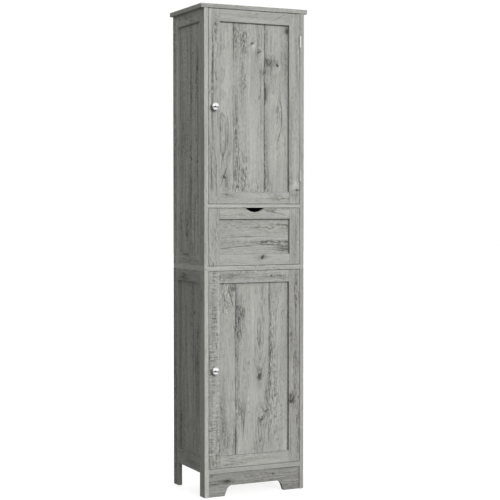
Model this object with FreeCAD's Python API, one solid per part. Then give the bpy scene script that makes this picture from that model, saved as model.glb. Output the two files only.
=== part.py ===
import FreeCAD, Part
import math
import os

# Tall bathroom cabinet: two stacked modules with framed sides, an upper door,
# a drawer and a lower door.  Millimetres, +Z up, front facing -Y.  The origin is
# at floor level, in the middle of the whole footprint, knobs included.

# ---------------------------------------------------------------- driving sizes
# Whole cabinet
height = 1700.0
body_width = 384.0
body_depth = 280.0
top_thickness = 15.0
top_side_overhang = 12.5
top_front_overhang = 1.5
top_edge_chamfer = 0.8

# Levels, measured up from the floor
base_clearance = 82.0
lower_module_height = 801.0
drawer_opening = 201.5
bottom_thickness = 16.0
mid_thickness = 16.0
divider_thickness = 12.0

# Framed sides, doors and drawer front: stiles, rails and a thin rebated panel
frame_thickness = 15.0
side_stile = 42.0
side_rail = 42.0
base_rail = 52.0
front_stile = 42.0
front_rail = 42.0
drawer_stile = 40.0
drawer_rail = 38.0
panel_recess = 9.0
panel_thickness = 5.0
rebate_width = 8.0
panel_play = 0.2
front_gap = 1.5

# Back panels, held in grooves
back_thickness = 3.0
back_inset = 8.0
back_groove_depth = 5.0
back_play = 0.1

# Front apron with bracket feet
apron_thickness = 15.0
apron_setback = 4.0
apron_foot = 62.0
apron_cut_height = 36.0
apron_curve_run = 29.0
apron_curve_radius = 22.0

# Shelves on loose pins
shelf_thickness = 12.0
shelf_side_gap = 1.0
shelf_front_gap = 9.0
shelf_back_gap = 1.0
shelf_pin_radius = 2.5
shelf_pin_reach = 8.0
shelf_pin_depth = 10.0
shelf_pin_play = 0.1

# Drawer box
drawer_side_thickness = 12.0
drawer_side_height = 148.0
drawer_rear_gap = 18.0
drawer_bottom_thickness = 3.0
drawer_groove_depth = 5.0
drawer_groove_height = 8.0
drawer_groove_play = 0.1
drawer_lift = 13.0
notch_width = 70.0
notch_depth = 14.0

# Roller runners: a channel on each side, an angle on each drawer side, and one
# nylon roller on each of them
runner_space = 12.5
runner_sheet = 1.2
runner_flange = 9.0
runner_lead = 2.0
runner_rear_gap = 7.0
roller_radius = 9.0
roller_width = 6.0
roller_gap = 0.3
roller_side_gap = 1.8
roller_end = 11.0
axle_radius = 2.0
axle_play = 0.05
angle_reach = 8.8
angle_step = 0.7
channel_headroom = 1.3

# Butt hinges
hinge_length = 40.0
hinge_inset = 98.0
hinge_knuckles = 3
knuckle_radius = 3.0
knuckle_standoff = 0.3
knuckle_gap = 0.2
hinge_pin_radius = 1.5
hinge_pin_play = 0.05
leaf_thickness = 0.7
leaf_width = 14.0

# Knobs
knob_projection = 24.0
knob_radius = 14.0
knob_base_radius = 7.0
knob_neck_radius = 4.6
knob_neck_height = 8.0
knob_rim_low = 14.6
knob_rim_high = 16.4
knob_crown_steps = 3
knob_sides = 32
knob_bore_depth = 12.0
screw_radius = 2.0
screw_play = 0.15
screw_head_flats = 7.0
screw_head_height = 2.2

# Magnetic catches and their plates
catch_width = 46.0
catch_height = 12.0
catch_depth = 15.0
catch_inset = 24.0
plate_thickness = 1.0
plate_margin = 2.0
catch_gap = 0.2
magnet_lip = 1.5

# Wall bracket
bracket_width = 40.0
bracket_leg = 28.0
bracket_foot = 20.0
bracket_sheet = 2.0
bracket_hole_radius = 2.75
bracket_hole_drop = 18.0

# ---------------------------------------------------------------- derived places
half_width = body_width / 2
inner_half = half_width - frame_thickness
front = (knob_projection - body_depth) / 2
back = front + body_depth
front_back = front + frame_thickness

bottom_under = base_clearance
bottom_top = base_clearance + bottom_thickness
mid_top = lower_module_height
mid_under = mid_top - mid_thickness
divider_under = mid_top + drawer_opening
divider_top = divider_under + divider_thickness
top_under = height - top_thickness

back_panel_rear = back - back_inset
back_panel_front = back_panel_rear - back_thickness

# The rear shelf pins sit between the back groove and the side panel's rebate
shelf_front = front_back + shelf_front_gap
rebate_edge = side_stile - rebate_width
pin_rear = (back_panel_front + back - rebate_edge) / 2
pin_front = (shelf_front + front + rebate_edge) / 2

hinge_x = inner_half - front_gap / 2
hinge_y = front - knuckle_standoff - knuckle_radius

opening_width = 2 * inner_half
front_width = opening_width - 2 * front_gap

upper_door_low = divider_top + front_gap
upper_door_high = top_under - front_gap
lower_door_low = bottom_top + front_gap
lower_door_high = mid_under - front_gap
drawer_front_low = mid_top + front_gap
drawer_front_high = divider_under - front_gap

drawer_half = inner_half - runner_space
drawer_side_length = back_panel_front - front_back - drawer_rear_gap
runner_length = back_panel_front - front_back - runner_lead - runner_rear_gap
drawer_low = mid_top + drawer_lift
channel_floor = drawer_low + 2 * runner_sheet
angle_top_under = channel_floor + roller_gap + 2 * roller_radius + angle_step
channel_ceiling = angle_top_under + runner_sheet + channel_headroom

pieces = {}


# ---------------------------------------------------------------- small helpers
def block(x0, x1, y0, y1, z0, z1):
    """Box between two corners."""
    return Part.makeBox(x1 - x0, y1 - y0, z1 - z0, FreeCAD.Vector(x0, y0, z0))


def rod(radius, x, y, z, along, length):
    """Cylinder that starts at a point and runs along a direction."""
    return Part.makeCylinder(radius, length, FreeCAD.Vector(x, y, z), FreeCAD.Vector(*along))


def mirrored(shape):
    """The same piece on the other side of the cabinet."""
    return shape.mirror(FreeCAD.Vector(0, 0, 0), FreeCAD.Vector(1, 0, 0))


def keep(name, *shapes):
    """Register one node made of one or several separate solids."""
    pieces[name] = shapes[0] if len(shapes) == 1 else Part.makeCompound(list(shapes))


def spread(first, last, count):
    """Evenly spaced values from first to last."""
    step = (last - first) / (count - 1)
    return [first + step * index for index in range(count)]


# ---------------------------------------------------------------- framed panels
def framed_panel(width, tall, stile, top_rail, bottom_rail, bottom_at=0.0):
    """Two stiles, two rails and a panel that sits in a rebate cut from behind.

    Built with the outer face on y = 0, the first stile on x = 0 and the lower
    end on z = 0.  bottom_at lifts the bottom rail, so that the stiles run on
    below it as legs.
    """
    open_low = bottom_at + bottom_rail
    open_high = tall - top_rail
    seat_low = open_low - rebate_width
    seat_high = open_high + rebate_width
    far = width - stile
    seat = block(stile - rebate_width, far + rebate_width, panel_recess, frame_thickness, seat_low, seat_high)
    first = block(0, stile, 0, frame_thickness, 0, tall).cut(seat)
    second = block(far, width, 0, frame_thickness, 0, tall).cut(seat)
    top = block(stile, far, 0, frame_thickness, open_high, tall).cut(seat)
    bottom = block(stile, far, 0, frame_thickness, bottom_at, open_low).cut(seat)
    panel = block(
        stile - rebate_width + panel_play,
        far + rebate_width - panel_play,
        panel_recess,
        panel_recess + panel_thickness,
        seat_low + panel_play,
        seat_high - panel_play,
    )
    return {"first": first, "second": second, "top": top, "bottom": bottom, "panel": panel}


def moved(parts, x, y, z, turn=0.0):
    """Place a set of framed pieces, turned about the vertical if asked."""
    where = FreeCAD.Placement(FreeCAD.Vector(x, y, z), FreeCAD.Rotation(FreeCAD.Vector(0, 0, 1), turn))
    placed = {}
    for key, shape in parts.items():
        copy = shape.copy()
        copy.Placement = where
        placed[key] = copy
    return placed


# ---------------------------------------------------------------- hidden fixings
def shelf_bays():
    """Shelf undersides: two in the upper compartment, one in the lower."""
    upper = spread(divider_top, top_under, 4)[1:3]
    lower = (bottom_top + mid_under) / 2
    return [level - shelf_thickness / 2 for level in upper + [lower]]


def pin_places():
    """Depths of the two pins that carry each shelf on each side."""
    return [pin_front, pin_rear]


def pin_level(underside):
    """Height of a pin's axis under a shelf."""
    return underside - shelf_pin_radius


def stile_holes():
    """Shelf pin holes in the inner face of the right-hand stiles."""
    radius = shelf_pin_radius + shelf_pin_play
    depth = shelf_pin_depth + shelf_pin_play
    holes = []
    for underside in shelf_bays():
        for y in pin_places():
            holes.append(rod(radius, inner_half, y, pin_level(underside), (1, 0, 0), depth))
    return holes


def back_groove(z0, z1):
    """Groove that holds a back panel's side edges and reaches into the boards."""
    reach = inner_half + back_groove_depth
    return block(-reach, reach, back_panel_front - back_play, back_panel_rear + back_play, z0, z1)


# ---------------------------------------------------------------- carcass
def make_sides():
    """Framed sides of both modules; the lower stiles run down as legs."""
    upper_tall = top_under - mid_top
    upper = framed_panel(body_depth, upper_tall, side_stile, side_rail, side_rail)
    lower = framed_panel(body_depth, mid_under, side_stile, side_rail, base_rail, base_clearance)
    sets = {
        "upper": moved(upper, half_width, front, mid_top, 90),
        "lower": moved(lower, half_width, front, 0, 90),
    }
    holes = stile_holes()
    grooves = {
        "upper": back_groove(mid_top, top_under),
        "lower": back_groove(bottom_under, mid_under),
    }
    stile_names = {"upper": ("front_stile", "rear_stile"), "lower": ("front_leg", "rear_leg")}
    for module, parts in sets.items():
        right = {key: shape.cut(holes) for key, shape in parts.items() if key in ("first", "second")}
        right["second"] = right["second"].cut(grooves[module])
        first_name, second_name = stile_names[module]
        for side, turn in (("right", lambda shape: shape), ("left", mirrored)):
            keep(f"{module}_{side}_{first_name}", turn(right["first"]))
            keep(f"{module}_{side}_{second_name}", turn(right["second"]))
            keep(f"{module}_{side}_rails", turn(parts["top"]), turn(parts["bottom"]))
            keep(f"{module}_{side}_panel", turn(parts["panel"]))


def make_boards():
    """Top, middle, bottom and drawer divider boards."""
    reach = half_width + top_side_overhang
    top = block(-reach, reach, front - top_front_overhang, back, top_under, height)
    top = top.makeChamfer(top_edge_chamfer, top.Edges)
    top_groove = back_groove(top_under, top_under + back_groove_depth)
    keep("top_board", top.cut(top_groove))

    mid = block(-half_width, half_width, front, back, mid_under, mid_top)
    upper_cut = back_groove(mid_top - back_groove_depth, mid_top)
    lower_cut = back_groove(mid_under, mid_under + back_groove_depth)
    keep("mid_board", mid.cut([upper_cut, lower_cut]))

    bottom = block(-inner_half, inner_half, front, back, bottom_under, bottom_top)
    groove = back_groove(bottom_top - back_groove_depth, bottom_top)
    keep("bottom_board", bottom.cut(groove))

    divider_rear = back_panel_front - back_play
    keep("drawer_divider", block(-inner_half, inner_half, front, divider_rear, divider_under, divider_top))


def make_back_panels():
    """Thin backs; the upper one has the hole for the wall screw."""
    reach = inner_half + back_groove_depth - back_play
    depth = back_groove_depth - back_play
    hole_z = top_under - bracket_hole_drop
    hole = rod(bracket_hole_radius, 0, back_panel_front, hole_z, (0, 1, 0), back_thickness)
    levels = {
        "upper_back_panel": (mid_top - depth, top_under + depth),
        "lower_back_panel": (bottom_top - depth, mid_under + depth),
    }
    for name, (low, high) in levels.items():
        panel = block(-reach, reach, back_panel_front, back_panel_rear, low, high)
        keep(name, panel.cut(hole) if low < hole_z < high else panel)


def apron_profile():
    """Apron outline: each foot's inner edge leans in and curls up into the cut."""
    foot_x = inner_half - apron_foot
    centre_x = foot_x - apron_curve_run
    centre_z = apron_cut_height - apron_curve_radius
    run = foot_x - centre_x
    distance = math.hypot(run, centre_z)
    lean = math.acos(apron_curve_radius / distance) - math.atan2(centre_z, run)
    middle = (lean + math.pi / 2) / 2

    def on_curve(angle, side):
        x = centre_x + apron_curve_radius * math.cos(angle)
        return FreeCAD.Vector(side * x, 0, centre_z + apron_curve_radius * math.sin(angle))

    def point(x, z):
        return FreeCAD.Vector(x, 0, z)

    edges = []
    for side in (1, -1):
        toe = point(side * foot_x, 0)
        outer = point(side * inner_half, 0)
        shoulder = point(side * inner_half, base_clearance)
        start = on_curve(lean, side)
        edges.append(Part.makeLine(shoulder, outer))
        edges.append(Part.makeLine(outer, toe))
        edges.append(Part.makeLine(toe, start))
        edges.append(Part.Arc(start, on_curve(middle, side), on_curve(math.pi / 2, side)).toShape())
    edges.append(Part.makeLine(on_curve(math.pi / 2, 1), on_curve(math.pi / 2, -1)))
    edges.append(Part.makeLine(point(inner_half, base_clearance), point(-inner_half, base_clearance)))
    return Part.Face(Part.Wire(Part.__sortEdges__(edges)))


def make_apron():
    """Front apron between the legs, a little behind their front edges."""
    apron = apron_profile().extrude(FreeCAD.Vector(0, apron_thickness, 0))
    apron.translate(FreeCAD.Vector(0, front + apron_setback, 0))
    keep("front_apron", apron)


def make_shelves():
    """Three loose shelves and the twelve pins that carry them."""
    reach = inner_half - shelf_side_gap
    shelf_rear = back_panel_front - shelf_back_gap
    shelves = []
    pins = []
    for underside in shelf_bays():
        shelves.append(block(-reach, reach, shelf_front, shelf_rear, underside, underside + shelf_thickness))
        for y in pin_places():
            pin = shelf_pin(y, pin_level(underside))
            pins += [pin, mirrored(pin)]
    keep("upper_shelves", shelves[0], shelves[1])
    keep("lower_shelf", shelves[2])
    keep("shelf_pins", *pins)


def shelf_pin(y, z):
    """One plain pin in the right-hand side."""
    start = inner_half - shelf_pin_reach
    return rod(shelf_pin_radius, start, y, z, (1, 0, 0), shelf_pin_reach + shelf_pin_depth)


def make_wall_bracket():
    """Steel angle under the top board, with the hole for the wall screw."""
    half = bracket_width / 2
    leg = block(
        -half, half,
        back_panel_front - bracket_sheet, back_panel_front,
        top_under - bracket_leg, top_under,
    )
    foot = block(
        -half, half,
        back_panel_front - bracket_foot, back_panel_front,
        top_under - bracket_sheet, top_under,
    )
    hole_z = top_under - bracket_hole_drop
    hole = rod(bracket_hole_radius, 0, back_panel_front - bracket_foot, hole_z, (0, 1, 0), bracket_foot)
    keep("wall_bracket", leg.fuse(foot).removeSplitter().cut(hole))


# ---------------------------------------------------------------- doors
def knob_outline():
    """Radius and distance out of each ring of a mushroom knob, base first.

    The crown is a ball's cap centred on the axis, in a few straight steps.
    """
    rise = knob_projection - knob_rim_high
    crown_radius = (knob_radius ** 2 + rise ** 2) / (2 * rise)
    sweep = math.asin(knob_radius / crown_radius)
    rings = [
        (knob_base_radius, 0),
        (knob_neck_radius, knob_neck_height),
        (knob_radius, knob_rim_low),
        (knob_radius, knob_rim_high),
    ]
    for step in range(1, knob_crown_steps):
        angle = sweep * (1 - step / knob_crown_steps)
        out = knob_projection - crown_radius * (1 - math.cos(angle))
        rings.append((crown_radius * math.sin(angle), out))
    return rings + [(knob_radius / (2 * knob_crown_steps), knob_projection)]


def regular(radius, sides, x, y, z):
    """Corners of a regular polygon that faces the front, the first one repeated."""
    corners = []
    for side in range(sides + 1):
        angle = 2 * math.pi * (side + 0.5) / sides
        corners.append(FreeCAD.Vector(x + radius * math.cos(angle), y, z + radius * math.sin(angle)))
    return corners


def turned(outline, sides, x, y, z):
    """Solid with flat facets round an axis that runs out of the front."""
    rings = [regular(radius, sides, x, y - out, z) for radius, out in outline]
    faces = [Part.Face(Part.makePolygon(ring)) for ring in (rings[0], rings[-1])]
    for low, high in zip(rings, rings[1:]):
        for side in range(sides):
            corners = [low[side], low[side + 1], high[side + 1], high[side], low[side]]
            faces.append(Part.Face(Part.makePolygon(corners)))
    solid = Part.makeSolid(Part.makeShell(faces))
    return solid if solid.Volume > 0 else solid.reversed()


def knob_and_screw(x, z):
    """Knob on the front of a door, and the hexagon screw that holds it from behind."""
    bore = rod(screw_radius + screw_play, x, front - knob_bore_depth, z, (0, 1, 0), knob_bore_depth)
    knob = turned(knob_outline(), knob_sides, x, front, z).cut(bore)
    inside = knob_bore_depth - screw_play
    shank = rod(screw_radius, x, front - inside, z, (0, 1, 0), inside + frame_thickness)
    head_face = Part.Face(Part.makePolygon(regular(screw_head_flats / math.sqrt(3), 6, x, front_back, z)))
    head = head_face.extrude(FreeCAD.Vector(0, screw_head_height, 0))
    return knob, shank.fuse(head).removeSplitter()


def make_door(name, low, high):
    """A framed door hung on the right, with its knob and catch plate."""
    parts = framed_panel(front_width, high - low, front_stile, front_rail, front_rail)
    parts = moved(parts, -front_width / 2, front, low)
    knob_x = -front_width / 2 + front_stile / 2
    knob_z = (low + high) / 2
    hole = rod(screw_radius + screw_play, knob_x, front, knob_z, (0, 1, 0), frame_thickness)
    keep(f"{name}_left_stile", parts["first"].cut(hole))
    keep(f"{name}_right_stile", parts["second"])
    keep(f"{name}_top_rail", parts["top"])
    keep(f"{name}_bottom_rail", parts["bottom"])
    keep(f"{name}_panel", parts["panel"])
    keep(f"{name}_knob", *knob_and_screw(knob_x, knob_z))
    plate_x = -inner_half + catch_inset
    keep(f"{name}_catch_plate", block(
        plate_x + plate_margin, plate_x + catch_width - plate_margin,
        front_back, front_back + plate_thickness,
        high - catch_height, high - plate_margin,
    ))


def make_catches():
    """Magnetic catches under the top and middle boards, facing the plates."""
    catches = []
    for under in (top_under, mid_under):
        x0 = -inner_half + catch_inset
        y0 = front_back + plate_thickness + catch_gap
        body = block(x0, x0 + catch_width, y0 + magnet_lip, y0 + catch_depth, under - catch_height, under)
        magnet = block(
            x0 + catch_width / 4, x0 + catch_width * 3 / 4,
            y0, y0 + magnet_lip,
            under - catch_height + magnet_lip, under - magnet_lip,
        )
        catches.append(body.fuse(magnet).removeSplitter())
    keep("magnet_catches", *catches)


# ---------------------------------------------------------------- hinges
def hinge_levels(low, high):
    """Bottom ends of the two hinges of a door."""
    return [low + hinge_inset - hinge_length / 2, high - hinge_inset - hinge_length / 2]


def hinge_leaf(z, knuckles, plate_x0, plate_x1):
    """A leaf: its plate, the knuckles that it carries and the pin's bore."""
    pitch = hinge_length / hinge_knuckles
    leaf = block(plate_x0, plate_x1, front, front + leaf_width, z, z + hinge_length)
    for index in knuckles:
        low = z + index * pitch + (knuckle_gap / 2 if index > 0 else 0)
        high = z + (index + 1) * pitch - (knuckle_gap / 2 if index < hinge_knuckles - 1 else 0)
        barrel = rod(knuckle_radius, hinge_x, hinge_y, low, (0, 0, 1), high - low)
        neck = block(plate_x0, plate_x1, hinge_y, front, low, high)
        leaf = leaf.fuse([barrel, neck])
    bore = rod(hinge_pin_radius + hinge_pin_play, hinge_x, hinge_y, z, (0, 0, 1), hinge_length)
    return leaf.removeSplitter().cut(bore)


def hinge_pin(z):
    """Plain pin through all the knuckles."""
    return rod(hinge_pin_radius, hinge_x, hinge_y, z, (0, 0, 1), hinge_length)


def make_hinges():
    """Two butt hinges per door: the cabinet's leaves, the doors' leaves, pins."""
    outer = [index for index in range(hinge_knuckles) if index % 2 == 0]
    inner = [index for index in range(hinge_knuckles) if index % 2 == 1]
    doors = {
        "upper_door": hinge_levels(upper_door_low, upper_door_high),
        "lower_door": hinge_levels(lower_door_low, lower_door_high),
    }
    cabinet_leaves = []
    pins = []
    for name, levels in doors.items():
        door_edge = inner_half - front_gap
        leaves = [hinge_leaf(z, inner, door_edge, door_edge + leaf_thickness) for z in levels]
        keep(f"{name}_hinge_leaves", *leaves)
        cabinet_leaves += [hinge_leaf(z, outer, inner_half - leaf_thickness, inner_half) for z in levels]
        pins += [hinge_pin(z) for z in levels]
    keep("cabinet_hinge_leaves", *cabinet_leaves)
    keep("hinge_pins", *pins)


# ---------------------------------------------------------------- drawer
def bottom_groove():
    """Space cut for the drawer bottom in the front, the sides and the back."""
    reach = drawer_half - drawer_side_thickness + drawer_groove_depth
    low = drawer_low + drawer_groove_height - drawer_groove_play
    high = drawer_low + drawer_groove_height + drawer_bottom_thickness + drawer_groove_play
    y1 = front_back + drawer_side_length - drawer_side_thickness + drawer_groove_depth
    return block(-reach, reach, front_back - drawer_groove_depth, y1, low, high)


def make_drawer_front():
    """Framed drawer front with a curved finger notch in its top edge."""
    tall = drawer_front_high - drawer_front_low
    parts = framed_panel(front_width, tall, drawer_stile, drawer_rail, drawer_rail)
    parts = moved(parts, -front_width / 2, front, drawer_front_low)
    notch_radius = ((notch_width / 2) ** 2 + notch_depth ** 2) / (2 * notch_depth)
    notch_z = drawer_front_high - notch_depth + notch_radius
    notch = rod(notch_radius, 0, front, notch_z, (0, 1, 0), frame_thickness)
    groove = bottom_groove()
    keep("drawer_front_left_stile", parts["first"].cut(groove))
    keep("drawer_front_right_stile", parts["second"].cut(groove))
    keep("drawer_front_top_rail", parts["top"].cut(notch))
    keep("drawer_front_bottom_rail", parts["bottom"].cut(groove))
    keep("drawer_front_panel", parts["panel"])


def make_drawer_box():
    """Sides, back and bottom of the drawer, behind its front."""
    rear = front_back + drawer_side_length
    high = drawer_low + drawer_side_height
    inner = drawer_half - drawer_side_thickness
    groove = bottom_groove()
    right = block(inner, drawer_half, front_back, rear, drawer_low, high).cut(groove)
    keep("drawer_right_side", right)
    keep("drawer_left_side", mirrored(right))
    keep("drawer_back", block(-inner, inner, rear - drawer_side_thickness, rear, drawer_low, high).cut(groove))
    reach = inner + drawer_groove_depth - drawer_groove_play
    low = drawer_low + drawer_groove_height
    keep("drawer_bottom", block(
        -reach, reach,
        front_back - drawer_groove_depth + drawer_groove_play,
        rear - drawer_side_thickness + drawer_groove_depth - drawer_groove_play,
        low, low + drawer_bottom_thickness,
    ))


def axle(x, y, z, direction, length):
    """Axle that stands out of a runner and reaches just past its roller."""
    return rod(axle_radius, x, y, z, (direction, 0, 0), length)


def roller(x, y, z):
    """One nylon roller with its bore."""
    wheel = rod(roller_radius, x, y, z, (1, 0, 0), roller_width)
    return wheel.cut(rod(axle_radius + axle_play, x, y, z, (1, 0, 0), roller_width))


def make_runners():
    """Channels, drawer angles and rollers, right side first, then mirrored."""
    y0 = front_back + runner_lead
    y1 = y0 + runner_length
    web = inner_half - runner_sheet
    edge = inner_half - runner_flange
    floor_under = channel_floor - runner_sheet
    ceiling_top = channel_ceiling + runner_sheet
    channel = block(web, inner_half, y0, y1, floor_under, ceiling_top)
    channel = channel.fuse([
        block(edge, inner_half, y0, y1, floor_under, channel_floor),
        block(edge, inner_half, y0, y1, channel_ceiling, ceiling_top),
    ])
    roller_x = drawer_half + runner_sheet + roller_side_gap
    front_y = y0 + roller_end
    front_z = angle_top_under - roller_gap - roller_radius
    front_axle_length = web - roller_x + roller_gap
    channel = channel.fuse(axle(web, front_y, front_z, -1, front_axle_length)).removeSplitter()

    angle_x = drawer_half + runner_sheet
    angle_rear = front_back + drawer_side_length
    angle_top = angle_top_under + runner_sheet
    angle = block(drawer_half, angle_x, front_back, angle_rear, drawer_low - runner_sheet, angle_top)
    angle = angle.fuse([
        block(drawer_half, drawer_half + runner_sheet + angle_reach, front_back, angle_rear, angle_top_under, angle_top),
        block(
            drawer_half - drawer_side_thickness, angle_x,
            front_back, angle_rear,
            drawer_low - runner_sheet, drawer_low,
        ),
    ])
    rear_y = angle_rear - roller_end
    rear_z = channel_floor + roller_gap + roller_radius
    rear_axle_length = roller_x + roller_width + roller_gap - angle_x
    angle = angle.fuse(axle(angle_x, rear_y, rear_z, 1, rear_axle_length)).removeSplitter()

    front_roller = roller(roller_x, front_y, front_z)
    rear_roller = roller(roller_x, rear_y, rear_z)
    keep("runner_channels", channel, mirrored(channel))
    keep("drawer_runner_angles", angle, mirrored(angle))
    keep("front_rollers", front_roller, mirrored(front_roller))
    keep("rear_rollers", rear_roller, mirrored(rear_roller))


def main():
    """Build every node and write one file for each."""
    make_sides()
    make_boards()
    make_back_panels()
    make_apron()
    make_shelves()
    make_wall_bracket()
    make_door("upper_door", upper_door_low, upper_door_high)
    make_door("lower_door", lower_door_low, lower_door_high)
    make_catches()
    make_hinges()
    make_drawer_front()
    make_drawer_box()
    make_runners()
    os.makedirs("parts", exist_ok=True)
    for name, shape in pieces.items():
        shape.exportStep(f"parts/{name}.step")
        print(name, len(shape.Solids), round(shape.Volume))
    print(len(pieces), "nodes")


main()
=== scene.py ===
import logging
import math
from collections.abc import Callable, Iterable, Mapping, Sequence
from dataclasses import dataclass, replace
from enum import Enum
from typing import Any

import bmesh
import bpy
from mathutils import Euler, Matrix, Vector


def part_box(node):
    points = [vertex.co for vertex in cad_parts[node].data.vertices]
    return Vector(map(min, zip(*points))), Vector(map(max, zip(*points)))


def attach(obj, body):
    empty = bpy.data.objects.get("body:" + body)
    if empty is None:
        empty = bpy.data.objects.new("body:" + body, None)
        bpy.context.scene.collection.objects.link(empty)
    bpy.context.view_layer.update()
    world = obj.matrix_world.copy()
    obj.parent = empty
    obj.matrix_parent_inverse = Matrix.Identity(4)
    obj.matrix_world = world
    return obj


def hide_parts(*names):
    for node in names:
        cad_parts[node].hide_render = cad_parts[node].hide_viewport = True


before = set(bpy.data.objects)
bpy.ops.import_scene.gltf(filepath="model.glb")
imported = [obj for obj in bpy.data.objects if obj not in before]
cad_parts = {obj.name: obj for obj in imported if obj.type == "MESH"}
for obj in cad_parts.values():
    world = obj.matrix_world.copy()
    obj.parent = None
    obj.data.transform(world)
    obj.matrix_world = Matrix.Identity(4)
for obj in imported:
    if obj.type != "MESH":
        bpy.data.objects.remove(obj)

LOG = logging.getLogger("cabinet")
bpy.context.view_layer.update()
MM = 0.001
MEAN = 0.5  # what noise is on average
SHARP_ANGLE = math.radians(38)
ARRIS_ANGLE = math.radians(40)
WELD_METRES = 1e-6
TOUCHING = 1e-4  # points of a mesh that are closer than this, in millimetres, are one
FITTING_SIDES = 24  # points round a screw head or a rivet
Colour = tuple[float, float, float]
Profile = Sequence[tuple[float, float]]


def box_mm(node: str) -> tuple[Vector, Vector]:
    """Lowest and highest corners of a CAD node in millimetres."""
    low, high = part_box(node)
    return low * 1000, high * 1000


# ---------------------------------------------------------------- shader maths
class Value:
    """A number that varies over a surface.  Operators on it add Math nodes."""

    def __init__(self, graph: "Graph", socket: bpy.types.NodeSocket) -> None:
        """Wrap a socket.

        Args:
            graph: The graph that the socket is in.
            socket: The output socket that gives the number.
        """
        self.graph = graph
        self.socket = socket

    def __add__(self, other: "Value | float") -> "Value":
        """Sum."""
        return self.graph.math("ADD", self, other)

    __radd__ = __add__

    def __sub__(self, other: "Value | float") -> "Value":
        """Difference."""
        return self.graph.math("SUBTRACT", self, other)

    def __rsub__(self, other: float) -> "Value":
        """Difference from a number."""
        return self.graph.math("SUBTRACT", other, self)

    def __mul__(self, other: "Value | float") -> "Value":
        """Product."""
        return self.graph.math("MULTIPLY", self, other)

    __rmul__ = __mul__

    def __truediv__(self, other: "Value | float") -> "Value":
        """Quotient."""
        return self.graph.math("DIVIDE", self, other)

    def __rtruediv__(self, other: float) -> "Value":
        """Quotient of a number."""
        return self.graph.math("DIVIDE", other, self)

    def __pow__(self, other: "Value | float") -> "Value":
        """Power."""
        return self.graph.math("POWER", self, other)

    def __rpow__(self, other: float) -> "Value":
        """Power of a number."""
        return self.graph.math("POWER", other, self)

    def __gt__(self, other: "Value | float") -> "Value":
        """1 where this is the larger, else 0."""
        return self.graph.math("GREATER_THAN", self, other)

    def __abs__(self) -> "Value":
        """Size without sign."""
        return self.graph.math("ABSOLUTE", self)

    def low(self, other: "Value | float") -> "Value":
        """The smaller of the two."""
        return self.graph.math("MINIMUM", self, other)

    def high(self, other: "Value | float") -> "Value":
        """The larger of the two."""
        return self.graph.math("MAXIMUM", self, other)

    def root(self) -> "Value":
        """Square root."""
        return self.graph.math("SQRT", self)

    def fraction(self) -> "Value":
        """Part after the decimal point."""
        return self.graph.math("FRACT", self)

    def bell(self, *others: "Value") -> "Value":
        """Bell curve: 1 at zero, falling off all round.

        Args:
            others: Values that it falls off along as well.

        Returns:
            The height of the bell.
        """
        total = self * self
        for other in others:
            total = total.plus(other, other)
        return (1 / math.e) ** total

    def about(self, centre: float, size: float) -> "Value":
        """Distance from a centre, in units of a size."""
        return self.graph.math("MULTIPLY_ADD", self, 1 / size, -centre / size)

    def plus(self, other: "Value", share: "Value | float") -> "Value":
        """This and a share of another."""
        return self.graph.math("MULTIPLY_ADD", other, share, self)

    def smooth(self, start: float, end: float) -> "Value":
        """Smooth step from 0 at start to 1 at end; start may be the larger.

        Args:
            start: Value that gives 0.
            end: Value that gives 1.

        Returns:
            The step.
        """
        rising = start < end
        ends = {1: min(start, end), 2: max(start, end), 3: float(not rising), 4: float(rising)}
        node = self.graph.add(
            "ShaderNodeMapRange", {"interpolation_type": "SMOOTHSTEP"}, {0: self, **ends}
        )
        return Value(self.graph, node.outputs[0])


class Tint:
    """A colour that varies over a surface."""

    def __init__(self, graph: "Graph", source: "bpy.types.NodeSocket | Colour") -> None:
        """Wrap a colour socket or hold a plain colour.

        Args:
            graph: The graph that the colour belongs to.
            source: The socket or the colour.
        """
        self.graph = graph
        self.source = source

    def toward(self, other: "Tint | Colour", amount: "Value | float", blend: str = "MIX") -> "Tint":
        """Blend with another colour.

        Args:
            other: The colour to blend in.
            amount: How much of it.
            blend: The Mix node's blend type.

        Returns:
            The blended colour.
        """
        settings = {"data_type": "RGBA", "blend_type": blend, "clamp_factor": True}
        inputs = {"Factor_Float": amount, "A_Color": self, "B_Color": other}
        node = self.graph.add("ShaderNodeMix", settings, inputs)
        return Tint(self.graph, node.outputs[2])


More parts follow.
